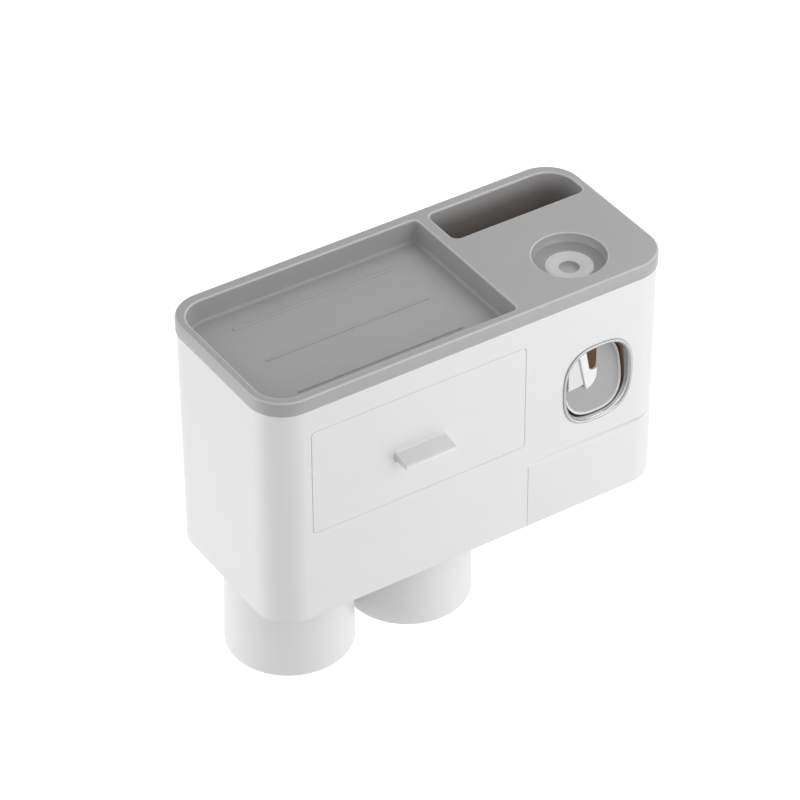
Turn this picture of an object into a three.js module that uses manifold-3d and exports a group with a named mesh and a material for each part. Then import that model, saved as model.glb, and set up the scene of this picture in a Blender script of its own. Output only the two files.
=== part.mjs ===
// Wall-mounted toothbrush holder: a white housing with a grey tray on top, a drawer, a paste dispenser
// worked by the brush, a covered rack for brushes and two cups that hang mouth down from magnets.
// Millimetres, +Z up, front towards -Y. The origin is the centre of the pad on the wall.
import * as THREE from "three";
import { mergeVertices } from "three/addons/utils/BufferGeometryUtils.js";
import Module from "manifold-3d";

const wasm = await Module();
wasm.setup();

// Driving dimensions. "down" and every top, floor, foot or bottom below counts from the rim's top.
const width = 230;
const depth = 100;
const bodyHeight = 134;
const totalHeight = 188;
const cornerRadius = 19;
const wall = 2.2;
const gap = 0.35;
const wallClearance = 0.5;

// Top tray
const rim = { height: 8, round: 1.3, overhang: 0.6, skirt: 12, skirtSkin: 1.6 };
const tray = { x0: -110.4, x1: 26.2, y0: -95.2, y1: -7, floor: 12, skin: 1.8 };
const slot = { x0: 32.8, x1: 110.4, y0: -31.8, y1: -7, floor: 40, skin: 1.6 };
const trayEdge = { tight: 2.5, lip: 1.1, draft: 0.6 };
const slotEdge = { tight: 4, lip: 1.1, draft: 0.8 };
const rib = { x0: -87.5, x1: 5, wide: 1.6, high: 0.7, ys: [-21.8, -51.2, -80] };
const socket = { x: 72, y: -73, mouth: 18.4, foot: 17.25, step: 5, lip: 0.9, ring: 20.4 };
const seat = { hole: 12.4, fall: 1, ledge: 10.5, through: 9.5, collar: 15.5 };
const hollow = { x0: 31.4, x1: 111, y0: -95.6, y1: -34.2, corner: 14.5, tight: 2, roof: 2.4 };

// Housing: an outer shell, a panel that closes its back, and an inner frame of a deck and its partitions
const backPanel = { half: 94, land: 3, lap: 3, skin: 1.4 };
const deck = { top: 84.5, skin: 2.2, rear: -5.6 };
const rest = { wide: 10, reach: 2, thick: 1.6, leftYs: [-75, -30], rightYs: [-50, -28], frontXs: [-75, 0] };
const runner = { xs: [-80, 12.5], wide: 4, front: -95, rear: -16 };
const upperDivider = { x0: 28.6, x1: 30.4, front: -96 };
const lowerDivider = { x0: 28.8, x1: 31 };
const bayBack = { y0: -35.4, y1: -33.4 };

// Drawer
const drawerFront = { x0: -92.5, x1: 29, top: 21.8, bottom: 82.5, radius: 2.5, skin: 2.5 };
const drawerBox = { x0: -87, x1: 23.5, back: -13, top: 29, bottom: 81.4, skin: 1.8, radius: 5 };
const pull = { wide: 29, root: 53.4, reach: 10, drop: 1.9, tip: 1.8, rootThick: 6.5 };

// Dispenser window, its push plate and nozzle. The plate leans: its top lies deeper than its foot.
const eye = { x: 72.05, down: 60.1, a: 20.75, b: 23.1, power: 2.7 };
const ring = { band: 2.5, sleeve: 1.3, proud: 0.7, seat: 0.1, outerRound: 0.5, innerRound: 0.4, rear: -95.8 };
const liner = { flange: 0.9, lap: 0.5, rear: -93.8, sideX: 79.2, sideRear: -88, sideFoot: 70 };
const plate = { clear: 1.1, front: -94.6, lean: 0.165, skin: 2, round: 0.7, lip: 1.5, dish: 0.6 };
const plateNotch = { x: 65.4, half: 5.6, foot: 57, round: 4 };
const pivot = { y: -90.2, down: 36.4, pin: 1, bore: 1.12, boss: 3 };
const yoke = { xs: [57, 76], wide: 2.4, rootTop: 45, rootFoot: 60 };
const crossbar = { front: -80, rear: -66, top: 34.2, skin: 2.2 };
const lug = { xs: [52.6, 88.4], wide: 3, rear: -87, high: 3.2 };
const nozzle = { x: 64.8, half: 8.3, front: -97, foot: 64.7, leftFoot: 62.1, round: 9 };
const nozzleGap = { back: 0.4, side: 0.6 };
const crease = { top: [62.7, 44.5], foot: [67.1, 63.3], step: 1.2, reach: 12 };
const outlet = { x: 70.9, radius: 2.3, foot: 53.8, topLeft: 65.8, clear: 0.3, sunk: 0.9 };

// Paste pump
const pump = { radius: 11.8, skin: 1.6, top: 12.7, foot: 24, inlet: 4, flange: 15.5 };
const bulb = { radius: 8.6, flange: 11.6, top: 24.3, edge: 1.2, foot: 33.8, skin: 1 };
const duct = { x: 65.2, y: -86.2, radius: 2.6, bore: 1.5, top: 16.5, inlet: 20, elbow: 48.5 };
const grommet = { radius: 12.1, top: 6, dish: 7.6, hole: 5.1, under: 10.2, neck: 4.6, sleeve: 7, foot: 12.4 };
const valve = { radius: 6, top: 14.6, thick: 1.2 };

// Brush bay
const cover = { x0: 31.6, sideEnd: -58, top: 93.4, skin: 2, barrel: 4, barrelX: [36, 94.6] };
const curl = { inner: 2.3, x1: 97, turn: Math.PI / 3 };
const coverEar = { xs: [33, 95.2], wide: 2, radius: 1.8, stemFront: -91.2, stemRear: -88.6, arm: 1.2 };
const coverRod = { radius: 0.9, bore: 1.05, x0: 33.2, x1: 97 };
const rack = { down: 124, skin: 2.4, front: -94 };
const brushSlot = { count: 4, first: 44, pitch: 18, wide: 7.5, deep: 36 };
const ledge = { wide: 2.4, thick: 1.6, start: 4 };

// Cups and their magnets
const cup = { xs: [-77.4, -7.1], y: -49.3, top: 91.4, mouth: 33.1, base: 30.4, skin: 2, floor: 4.4 };
const cupEdge = { round: 4, lip: 0.8, land: 0.4, inner: 1 };
const magnet = { radius: 9, thick: 3, boss: 12, pocket: 9.3, bossFoot: 91.1, sunk: 0.1 };
const disc = { radius: 9, thick: 1.3, pocket: 9.3, sunk: 1.7, above: 0.1 };

// Wall plate
const wallPlate = { wide: 150, high: 62, thick: 1.6, radius: 8 };
const pad = { wide: 146, high: 58, thick: 0.6, radius: 7 };
const hook = { xs: [-48, 48], wide: 16, low: 12, neck: 3.2, front: -7.2 };
const hookLip = { high: 8, skin: 2.2, chamfer: 1.4 };
const hookSlot = { low: 1, side: 0.6 };
const recess = { floor: -2.6, skin: 2, side: 3, above: 1.5, below: 12 };

const roundSteps = 7;
const tightSteps = 3;
const circleSteps = 40;
const ductSteps = 12;
const hiddenSteps = 24;
const square = 0.4;
const past = 1;
const topZ = bodyHeight / 2;
const zAt = (down) => topZ - down;

// Looks of the mouldings and fittings
const white = { color: 0xe9e8e9, roughness: 0.35, metalness: 0 };
const grey = { color: 0xa9a8a9, roughness: 0.55, metalness: 0 };
const plateGrey = { color: 0xb4b2b3, roughness: 0.4, metalness: 0 };
const chrome = { color: 0xd0d2d4, roughness: 0.08, metalness: 1 };
const steel = { color: 0xb8babd, roughness: 0.3, metalness: 1 };
const silicone = { color: 0xcfcfcf, roughness: 0.6, metalness: 0 };
const brown = { color: 0x5a4030, roughness: 0.5, metalness: 0 };
const clearPlastic = { color: 0xdfe3e6, roughness: 0.25, metalness: 0 };
const magnetBlack = { color: 0x4a4c50, roughness: 0.4, metalness: 0.8 };
const foam = { color: 0xd8d8d4, roughness: 0.9, metalness: 0 };

// A closed geometry as a solid that can be joined and cut.
function solid(geometry) {
  const bare = geometry.index ? geometry.toNonIndexed() : geometry.clone();
  bare.deleteAttribute("normal");
  bare.deleteAttribute("uv");
  const merged = mergeVertices(bare, 1e-4);
  const vertProperties = merged.attributes.position.array;
  const triVerts = new Uint32Array(merged.index.array);
  return new wasm.Manifold(new wasm.Mesh({ numProp: 3, vertProperties, triVerts }));
}

function geometryOf(body) {
  const { vertProperties, triVerts } = body.getMesh();
  const geometry = new THREE.BufferGeometry();
  geometry.setAttribute("position", new THREE.BufferAttribute(vertProperties, 3));
  geometry.setIndex(new THREE.BufferAttribute(triVerts, 1));
  const faceted = geometry.toNonIndexed();
  faceted.computeVertexNormals();
  return faceted;
}

const asSolid = (shape) => (shape.isBufferGeometry ? solid(shape) : shape);
const join = (...shapes) => shapes.map(asSolid).reduce((sum, body) => sum.add(body));
const cut = (...shapes) => shapes.map(asSolid).reduce((rest, tool) => rest.subtract(tool));
const keep = (...shapes) => shapes.map(asSolid).reduce((rest, tool) => rest.intersect(tool));

function mesh(name, shape, look) {
  const geometry = shape.isBufferGeometry ? shape : geometryOf(shape);
  const piece = new THREE.Mesh(geometry, new THREE.MeshStandardMaterial(look));
  piece.name = name;
  return piece;
}

// A rectangle with a round at each corner, counter-clockwise from the corner at high x and low y, with
// one radius for each corner. inset draws the outline inwards, or outwards where it is negative.
function roundedOutline({ x0, x1, y0, y1 }, radii, steps, inset = 0) {
  const corners = [[x1, y0, -1, 1], [x1, y1, -1, -1], [x0, y1, 1, -1], [x0, y0, 1, 1]];
  return corners.flatMap(([x, y, inX, inY], i) => {
    const radius = radii[i] - inset;
    const cx = x + inX * (inset + radius);
    const cy = y + inY * (inset + radius);
    const from = (i - 1) * (Math.PI / 2);
    return new THREE.EllipseCurve(cx, cy, radius, radius, from, from + Math.PI / 2).getPoints(steps);
  });
}

// The window's outline on the front, a square oval with bulging sides: |x/a|^n + |z/b|^n = 1.
function eyeOutline(inset) {
  const bulge = (v) => Math.sign(v) * Math.abs(v) ** (2 / eye.power);
  return Array.from({ length: circleSteps }, (_, i) => {
    const t = (2 * Math.PI * i) / circleSteps;
    const x = eye.x + (eye.a - inset) * bulge(Math.cos(t));
    const z = zAt(eye.down) + (eye.b - inset) * bulge(Math.sin(t));
    return new THREE.Vector2(x, z);
  });
}

// A closed skin through outlines of equal point count, given from low to high as [z, points].
function loft(sections) {
  const count = sections[0][1].length;
  const positions = sections.flatMap(([z, points]) => points.flatMap((p) => [p.x, p.y, z]));
  const index = [];
  for (let level = 0; level + 1 < sections.length; level += 1) {
    for (let i = 0; i < count; i += 1) {
      const a = level * count + i;
      const b = level * count + ((i + 1) % count);
      index.push(a, b, b + count, a, b + count, a + count);
    }
  }
  const last = (sections.length - 1) * count;
  const lower = THREE.ShapeUtils.triangulateShape(sections[0][1], []);
  const upper = THREE.ShapeUtils.triangulateShape(sections.at(-1)[1], []);
  lower.forEach(([a, b, c]) => index.push(a, c, b));
  upper.forEach(([a, b, c]) => index.push(last + a, last + b, last + c));
  const geometry = new THREE.BufferGeometry();
  geometry.setAttribute("position", new THREE.Float32BufferAttribute(positions, 3));
  geometry.setIndex(index);
  return geometry;
}

// Heights and insets of a quarter round that ends at height z: side is 1 on an outer edge, -1 round a mouth.
function quarterRound(z, radius, side, steps = 3) {
  return Array.from({ length: steps + 1 }, (_, i) => {
    const turn = (Math.PI / 2) * (i / steps);
    return [z - radius + radius * Math.sin(turn), side * radius * (1 - Math.cos(turn))];
  });
}

const stacked = (outline, levels) => loft(levels.map(([z, inset]) => [z, outline(inset)]));
const straight = (points, z0, z1) => loft([[z0, points], [z1, points]]);
function prism(shape, z0, z1) {
  const options = { depth: z1 - z0, bevelEnabled: false, curveSegments: 8 };
  return new THREE.ExtrudeGeometry(shape, options).translate(0, 0, z0);
}
const block = (x0, x1, y0, y1, z0, z1) =>
  new THREE.BoxGeometry(x1 - x0, y1 - y0, z1 - z0).translate((x0 + x1) / 2, (y0 + y1) / 2, (z0 + z1) / 2);

// What is drawn in X and Z on the front: a prism from y0 at the front back to y1, or a stack of outlines
// whose levels count forwards from the wall.
const onFront = (geometry) => geometry.rotateX(Math.PI / 2);
const frontPrism = (points, y0, y1) => onFront(straight(points, -y1, -y0));
const frontShape = (shape, y0, y1) => onFront(prism(shape, -y1, -y0));
const frontStack = (outline, levels) => onFront(stacked(outline, levels));

// What is drawn in Y and Z on the side, from x0 to x1.
const sideways = new THREE.Matrix4().makeBasis(
  new THREE.Vector3(0, 1, 0),
  new THREE.Vector3(0, 0, 1),
  new THREE.Vector3(1, 0, 0),
);
const sidePrism = (shape, x0, x1) => prism(shape, x0, x1).applyMatrix4(sideways);

// A round bar upright or along X or Y, and a piece turned from a profile of radius and height.
const bar = (radius, length, steps) => new THREE.CylinderGeometry(radius, radius, length, steps);
const post = (x, y, radius, z0, z1, steps = circleSteps) =>
  bar(radius, z1 - z0, steps).rotateX(Math.PI / 2).translate(x, y, (z0 + z1) / 2);
const axle = (y, z, radius, x0, x1, steps = ductSteps) =>
  bar(radius, x1 - x0, steps).rotateZ(Math.PI / 2).translate((x0 + x1) / 2, y, z);
const spout = (x, z, radius, y0, y1) => bar(radius, y1 - y0, ductSteps).translate(x, (y0 + y1) / 2, z);
function turned(profile, x, y, steps = circleSteps) {
  const points = profile.map(([radius, z]) => new THREE.Vector2(radius, z));
  return new THREE.LatheGeometry(points, steps).rotateX(Math.PI / 2).translate(x, y, 0);
}

const polygon = (points) => new THREE.Shape(points.map(([a, b]) => new THREE.Vector2(a, b)));
const centred = (wide, high) => ({ x0: -wide / 2, x1: wide / 2, y0: -high / 2, y1: high / 2 });
const even = (radius) => [radius, radius, radius, radius];

// Plan of the rim and of the housing under it
const rimBox = { x0: -width / 2, x1: width / 2, y0: -depth, y1: -wallClearance };
const rimOutline = (inset) => roundedOutline(rimBox, even(cornerRadius), roundSteps, inset);
const bodyOutline = (inset) => rimOutline(rim.overhang + inset);
const frontY = rimBox.y0 + rim.overhang;
const rearY = rimBox.y1 - rim.overhang;
const rightX = rimBox.x1 - rim.overhang;
const insideRight = rightX - wall - gap;
const footZ = zAt(bodyHeight);

// The tray and the slot follow the rim's corners outside and have tight corners at the divider.
const trayLeft = cornerRadius - (tray.x0 - rimBox.x0);
const trayCorners = [trayEdge.tight, trayEdge.tight, trayLeft, trayLeft];
const trayOutline = (inset) => roundedOutline(tray, trayCorners, roundSteps, inset);
const slotRight = cornerRadius - (rimBox.x1 - slot.x1);
const slotCorners = [slotEdge.tight, slotRight, slotEdge.tight, slotEdge.tight];
const slotOutline = (inset) => roundedOutline(slot, slotCorners, roundSteps, inset);

// The tray and the slot as the space in them, with a drafted wall and a rounded mouth.
const mouthRoom = (outline, floor, edge) =>
  stacked(outline, [
    [zAt(floor), edge.draft],
    ...quarterRound(topZ, edge.lip, -1),
    [topZ + past, -edge.lip],
  ]);

// The socket as the space in it: a dished recess, the seat for the grommet and the way down to the pump.
function socketRoom() {
  const mouth = quarterRound(topZ, socket.lip, -1).map(([z, inset]) => [socket.mouth - inset, z]);
  const profile = [
    [0, zAt(rim.skirt + past)],
    [seat.through, zAt(rim.skirt + past)],
    [seat.through, zAt(seat.ledge)],
    [seat.hole, zAt(seat.ledge)],
    [seat.hole, zAt(socket.step + seat.fall)],
    [socket.foot, zAt(socket.step)],
    ...mouth,
    [socket.mouth + socket.lip, topZ + past],
    [0, topZ + past],
  ];
  return turned(profile, socket.x, socket.y);
}

function trayRib(y) {
  const box = { x0: rib.x0, x1: rib.x1, y0: y - rib.wide / 2, y1: y + rib.wide / 2 };
  const outline = roundedOutline(box, even(rib.wide / 2), tightSteps);
  return straight(outline, zAt(tray.floor + past / 2), zAt(tray.floor - rib.high));
}

// The band under the rim that drops inside the housing's walls.
function traySkirt() {
  const face = bodyOutline(wall + gap);
  const back = bodyOutline(wall + gap + rim.skirtSkin);
  return cut(
    straight(face, zAt(rim.skirt), zAt(rim.height - past)),
    straight(back, zAt(rim.skirt + past), topZ),
  );
}

function topTray() {
  const slab = stacked(rimOutline, [[zAt(rim.height), 0], ...quarterRound(topZ, rim.round, 1)]);
  const hollowCorners = [hollow.corner, hollow.tight, hollow.tight, hollow.tight];
  const hollowOutline = roundedOutline(hollow, hollowCorners, roundSteps);
  const underRoom = straight(hollowOutline, zAt(rim.height + past), zAt(hollow.roof));
  const socketRing = post(socket.x, socket.y, socket.ring, zAt(rim.height + 2 * past), topZ);
  const roof = cut(slab, cut(underRoom, socketRing));

  const tub = straight(trayOutline(-tray.skin), zAt(tray.floor + tray.skin), zAt(rim.height - past));
  const pocket = straight(slotOutline(-slot.skin), zAt(slot.floor + slot.skin), zAt(rim.height - past));
  const collar = post(socket.x, socket.y, seat.collar, zAt(rim.skirt), zAt(hollow.roof / 2));
  const moulding = join(roof, traySkirt(), tub, pocket, collar);
  const open = cut(
    moulding,
    mouthRoom(trayOutline, tray.floor, trayEdge),
    mouthRoom(slotOutline, slot.floor, slotEdge),
    socketRoom(),
  );
  return mesh("top_tray", join(open, ...rib.ys.map(trayRib)), grey);
}

const insideRear = rearY - wall / 2;
const insideDeck = zAt(deck.top + deck.skin / 2);
const pivotZ = zAt(pivot.down);
const rodY = frontY + cover.barrel;
const rodZ = zAt(cover.top + cover.barrel);

// Blocks on the shell's walls, on which the inner frame's deck lies.
function shellRests() {
  const top = zAt(deck.top + deck.skin + gap);
  const low = top - rest.thick;
  const half = rest.wide / 2;
  const inside = rightX - wall;
  const root = wall / 2;
  return [
    ...rest.leftYs.map((y) => block(-inside - root, rest.reach - inside, y - half, y + half, low, top)),
    ...rest.rightYs.map((y) => block(inside - rest.reach, inside + root, y - half, y + half, low, top)),
    ...rest.frontXs.map((x) =>
      block(x - half, x + half, frontY + root, frontY + wall + rest.reach, low, top),
    ),
  ];
}

// The dished place in the back panel that takes the wall plate, and the slots for its hooks.
function plateRecess() {
  const box = {
    x0: -wallPlate.wide / 2 - recess.side,
    x1: wallPlate.wide / 2 + recess.side,
    y0: -wallPlate.high / 2 - recess.below,
    y1: wallPlate.high / 2 + recess.above,
  };
  const inner = roundedOutline(box, even(wallPlate.radius), tightSteps);
  const outer = roundedOutline(box, even(wallPlate.radius), tightSteps, -wall);
  const rear = recess.floor - recess.skin;
  const half = hook.wide / 2 + hookSlot.side;
  const slotTop = hook.low + hook.neck + gap;
  return {
    wallBehind: frontPrism(outer, rear, insideRear),
    room: frontPrism(inner, recess.floor, past),
    slots: hook.xs.map((x) => block(x - half, x + half, rear - past, past, hookSlot.low, slotTop)),
  };
}

// Ears under the deck that carry the flap's rod from behind, clear of the flap's turning edge.
function coverEars() {
  const shape = polygon([
    [rodY, rodZ - coverEar.arm],
    [coverEar.stemRear, rodZ - coverEar.arm],
    [coverEar.stemRear, insideDeck],
    [coverEar.stemFront, insideDeck],
    [coverEar.stemFront, rodZ + coverEar.arm],
    [rodY, rodZ + coverEar.arm],
  ]);
  return coverEar.xs.flatMap((x) => [
    sidePrism(shape, x, x + coverEar.wide),
    axle(rodY, rodZ, coverEar.radius, x, x + coverEar.wide),
  ]);
}

function rackLedges() {
  const top = zAt(rack.down + rack.skin + gap);
  const low = top - ledge.thick;
  const inner = lowerDivider.x1;
  return [
    block(inner - past, inner + ledge.wide, rack.front + ledge.start, bayBack.y0, low, top),
    block(inner, insideRight, bayBack.y0 - ledge.wide, bayBack.y0 + past, low, top),
  ];
}

function innerFrame() {
  const region = block(-rightX, rightX, rimBox.y0, deck.rear, footZ, zAt(rim.height));
  const plan = bodyOutline(wall + gap);
  const plateDeck = keep(straight(plan, zAt(deck.top + deck.skin), zAt(deck.top)), region);
  const { x0, x1, front } = upperDivider;
  const walls = [
    block(x0, x1, front, deck.rear, insideDeck, zAt(rim.skirt + 2 * past)),
    block(lowerDivider.x0, lowerDivider.x1, frontY + wall + gap, deck.rear, footZ, insideDeck),
    block(lowerDivider.x1 - past, insideRight, bayBack.y0, bayBack.y1, footZ, insideDeck),
  ];
  const runners = runner.xs.map((x) =>
    block(x, x + runner.wide, runner.front, runner.rear, insideDeck, zAt(drawerBox.bottom + gap)),
  );
  const bosses = cup.xs.map((x) => post(x, cup.y, magnet.boss, zAt(magnet.bossFoot), insideDeck));
  const magnetRoof = zAt(magnet.bossFoot - magnet.thick - gap);
  const pockets = cup.xs.map((x) =>
    post(x, cup.y, magnet.pocket, zAt(magnet.bossFoot + past), magnetRoof),
  );
  const rodBore = axle(rodY, rodZ, coverRod.bore, coverEar.xs[0] - past, coverRod.x1 + past);
  const moulding = join(plateDeck, ...walls, ...runners, ...bosses, ...coverEars(), ...rackLedges());
  return mesh("inner_frame", cut(moulding, ...pockets, rodBore), white);
}

const drawerFace = {
  x0: drawerFront.x0,
  x1: drawerFront.x1,
  y0: zAt(drawerFront.bottom),
  y1: zAt(drawerFront.top),
};
const drawerOutline = (inset) => roundedOutline(drawerFace, even(drawerFront.radius), tightSteps, inset);

// What the flap covers of the housing's outer wall, round the right front corner.
function coverOpening() {
  const right = rightX + past;
  const top = zAt(cover.top - gap);
  const band = block(lowerDivider.x1 + gap / 2, right, frontY - past, cover.sideEnd + gap, footZ - past, top);
  return cut(band, straight(bodyOutline(wall), footZ - 2 * past, topZ));
}

function bodyShell() {
  const hull = straight(bodyOutline(0), footZ, zAt(rim.height));
  const room = straight(bodyOutline(wall), footZ - past, topZ);
  const { half } = backPanel;
  const rearHole = block(-half, half, rearY - wall - past, rearY + past, footZ - past, topZ);
  const lugs = lug.xs.map((x) =>
    block(x, x + lug.wide, frontY + wall / 2, lug.rear, pivotZ - lug.high, pivotZ + lug.high),
  );
  const moulding = join(cut(hull, room, rearHole), ...lugs, ...shellRests());

  const pinBore = axle(pivot.y, pivotZ, pivot.bore, lug.xs[0] + past / 2, lug.xs[1] + lug.wide - past / 2);
  const drawerHole = frontPrism(drawerOutline(0), frontY - past, frontY + wall + past / 2);
  const eyeHole = frontPrism(eyeOutline(ring.band - ring.sleeve - gap), frontY - past, frontY + wall + past);
  return mesh("body_shell", cut(moulding, pinBore, drawerHole, eyeHole, coverOpening()), white);
}

// The panel drops in behind the shell's rear edges, which a strip down each of its sides laps.
function rearPanel() {
  const back = plateRecess();
  const { half, land, lap, skin } = backPanel;
  const edge = half - gap;
  const lapRear = rearY - wall - gap;
  const strip = [
    [half - land, insideRear],
    [half - land, lapRear - skin],
    [half + lap, lapRear - skin],
    [half + lap, lapRear],
    [edge, lapRear],
    [edge, insideRear],
  ];
  const mirrored = strip.map(([x, y]) => [-x, y]);
  const stripTop = zAt(tray.floor + tray.skin + gap);
  const sheet = block(-edge, edge, rearY - wall, rearY, footZ, zAt(rim.height));
  const strips = [strip, mirrored].map((points) => prism(polygon(points), footZ, stripTop));
  const moulding = join(sheet, back.wallBehind, ...strips);
  return mesh("back_panel", cut(moulding, back.room, ...back.slots), white);
}

function drawer() {
  const faceBack = frontY + drawerFront.skin;
  const front = frontPrism(drawerOutline(gap), frontY, faceBack);
  const plan = { x0: drawerBox.x0, x1: drawerBox.x1, y0: faceBack - past, y1: drawerBox.back };
  const frontCorner = drawerBox.skin + gap;
  const corners = [frontCorner, drawerBox.radius, drawerBox.radius, frontCorner];
  const boxOutline = (inset) => roundedOutline(plan, corners, tightSteps, inset);
  const low = zAt(drawerBox.bottom);
  const high = zAt(drawerBox.top);
  const box = straight(boxOutline(0), low, high);
  const room = straight(boxOutline(drawerBox.skin), low + drawerBox.skin, high + past);

  const lipZ = zAt(pull.root);
  const lipShape = new THREE.Shape();
  lipShape.moveTo(frontY + past, lipZ);
  lipShape.lineTo(frontY, lipZ);
  lipShape.lineTo(frontY - pull.reach, lipZ - pull.drop);
  lipShape.lineTo(frontY - pull.reach, lipZ - pull.drop - pull.tip);
  lipShape.quadraticCurveTo(frontY, lipZ - pull.drop - pull.tip, frontY, lipZ - pull.rootThick);
  lipShape.lineTo(frontY + past, lipZ - pull.rootThick);
  const middle = (drawerFront.x0 + drawerFront.x1) / 2;
  const lip = sidePrism(lipShape, middle - pull.wide / 2, middle + pull.wide / 2);
  return mesh("drawer", join(cut(box, room), front, lip), white);
}

function bezelRing() {
  const seatY = frontY - ring.seat;
  const reach = ring.proud - frontY;
  const flange = frontStack(eyeOutline, [[-seatY, 0], ...quarterRound(reach, ring.outerRound, 1)]);
  const sleeve = frontPrism(eyeOutline(ring.band - ring.sleeve), seatY - past / 2, ring.rear);
  const innerEdge = (inset) => eyeOutline(ring.band + inset);
  const hole = frontStack(innerEdge, [
    [-ring.rear - past, 0],
    ...quarterRound(reach, ring.innerRound, -1),
    [reach + past, -ring.innerRound],
  ]);
  return mesh("bezel_ring", cut(join(flange, sleeve), hole), chrome);
}

// Brown frame behind the wall: a flange and a short sleeve behind the ring, with a deeper wall beside the
// plate on the right.
function windowLiner() {
  const front = ring.rear + gap;
  const hole = ring.band - ring.sleeve - gap;
  const around = (inset, y0, y1) => frontPrism(eyeOutline(inset), y0, y1);
  const collar = around(-liner.flange, frontY + wall + gap, front + liner.lap);
  const flange = cut(collar, around(hole, frontY, liner.rear));
  const sleeve = around(hole - liner.lap, front, liner.rear);
  const side = keep(
    around(hole - liner.lap, front, liner.sideRear),
    block(liner.sideX, rightX, frontY, 0, zAt(liner.sideFoot), topZ),
  );
  const bore = around(ring.band, frontY, 0);
  return mesh("window_liner", join(flange, cut(join(sleeve, side), bore)), brown);
}

// A tongue on the front that hangs from the top of the window, with its lower corners rounded.
function tongueOutline(x, half, foot, leftRound, rightRound) {
  const box = { x0: x - half, x1: x + half, y0: zAt(foot), y1: zAt(eye.down) + eye.b };
  return roundedOutline(box, [rightRound, square, square, leftRound], roundSteps);
}

const nozzleOutline = (grow) =>
  tongueOutline(nozzle.x, nozzle.half + grow, nozzle.foot + grow, square, nozzle.round + grow);

// The plate's lean as a shear about the window's middle, and where it puts the plate's front.
const plateLean = new THREE.Matrix4()
  .makeTranslation(0, -plate.lean * zAt(eye.down), 0)
  .multiply(new THREE.Matrix4().makeShear(0, 0, 0, 0, 0, plate.lean));
const leaned = (geometry) => geometry.applyMatrix4(plateLean);
const plateFront = (down) => plate.front + plate.lean * (eye.down - down);

function pushPlate() {
  const back = plate.front + plate.skin;
  const ahead = plate.front - past;
  const dishFloor = plate.front + plate.dish;
  const outline = (inset) => eyeOutline(ring.band + plate.clear + inset);
  const face = leaned(frontStack(outline, [[-back, 0], ...quarterRound(-plate.front, plate.round, 1)]));
  const dish = leaned(frontPrism(outline(plate.lip), ahead, dishFloor));
  const nozzleRelief = leaned(frontPrism(nozzleOutline(nozzleGap.side), ahead, dishFloor));
  const { x, half, foot, round } = plateNotch;
  const notchHole = leaned(frontPrism(tongueOutline(x, half, foot, round, round), ahead, back + past));

  const barZ = zAt(crossbar.top);
  const barLow = barZ - crossbar.skin;
  const armShape = polygon([
    [plateFront(yoke.rootFoot) + past, zAt(yoke.rootFoot)],
    [plateFront(yoke.rootFoot) + plate.skin, zAt(yoke.rootFoot)],
    [pivot.y + pivot.boss, pivotZ - pivot.boss],
    [crossbar.rear, barLow],
    [crossbar.rear, barZ],
    [pivot.y, pivotZ + pivot.boss],
    [pivot.y - pivot.boss, pivotZ],
    [plateFront(yoke.rootTop) + past, zAt(yoke.rootTop)],
  ]);
  const [left, right] = yoke.xs;
  const arms = yoke.xs.map((armX) => sidePrism(armShape, armX, armX + yoke.wide));
  const bridge = block(left, right + yoke.wide, crossbar.front, crossbar.rear, barLow, barZ);
  const bore = axle(pivot.y, pivotZ, pivot.bore, left - past, right + yoke.wide + past);
  const dished = cut(face, dish, nozzleRelief, notchHole);
  return mesh("push_plate", cut(join(dished, ...arms, bridge), bore), plateGrey);
}

function platePin() {
  const [left, right] = lug.xs;
  return mesh("plate_pin", axle(pivot.y, pivotZ, pivot.pin, left + past, right + lug.wide - past), steel);
}

// The left part of the nozzle's face slopes back to a leaning crease, where it steps out again.
function creaseSlope() {
  const [topX, topDown] = crease.top;
  const [footX, footDown] = crease.foot;
  const wedge = polygon([
    [-crease.reach, nozzle.front],
    [0, nozzle.front - past],
    [0, nozzle.front + crease.step],
  ]);
  const lean = Math.atan2(footX - topX, footDown - topDown);
  const length = 2 * (footDown - topDown);
  return prism(wedge, -length, length).rotateY(-lean).translate(footX, 0, zAt(footDown));
}

// The space that the nozzle and its outlet may fill: inside the window, in front of the leaning plate.
function nozzleRoom() {
  const window = frontPrism(eyeOutline(ring.band + plate.clear), frontY, pivot.y);
  const reach = nozzle.half + past;
  const back = plate.front + plate.dish - nozzleGap.back;
  return cut(window, leaned(block(nozzle.x - reach, nozzle.x + reach, back, 0, footZ, topZ)));
}

// The outlet on the front: round below, its left edge leaning out towards the top of the window.
function outletShape(grow) {
  const radius = outlet.radius + grow;
  const middle = zAt(outlet.foot) + outlet.radius;
  const top = zAt(eye.down) + eye.b;
  const shape = new THREE.Shape();
  shape.moveTo(outlet.x + radius, top);
  shape.lineTo(outlet.topLeft - grow, top);
  shape.lineTo(outlet.x - radius, middle);
  shape.absarc(outlet.x, middle, radius, Math.PI, 2 * Math.PI, false);
  return shape;
}

function nozzleBlock() {
  const { x, half, front, foot, leftFoot } = nozzle;
  const tongue = keep(frontPrism(nozzleOutline(0), front, pivot.y), nozzleRoom());
  const corner = block(x - half - past, crease.foot[0], frontY, pivot.y, zAt(foot + past), zAt(leftFoot));
  const notch = frontShape(outletShape(outlet.clear), frontY, pivot.y);
  const ductZ = zAt(duct.elbow);
  const root = plateFront(duct.elbow);
  const stub = spout(duct.x, ductZ, duct.radius, root - past / 2, duct.y - duct.radius - gap);
  const bore = spout(duct.x, ductZ, duct.bore, root, duct.y);
  const face = cut(tongue, creaseSlope(), corner, notch);
  return mesh("nozzle_block", cut(join(face, stub), bore), white);
}

function outletValve() {
  const plug = frontShape(outletShape(0), nozzle.front + outlet.sunk, pivot.y);
  return mesh("outlet_valve", keep(plug, nozzleRoom()), brown);
}

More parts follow.
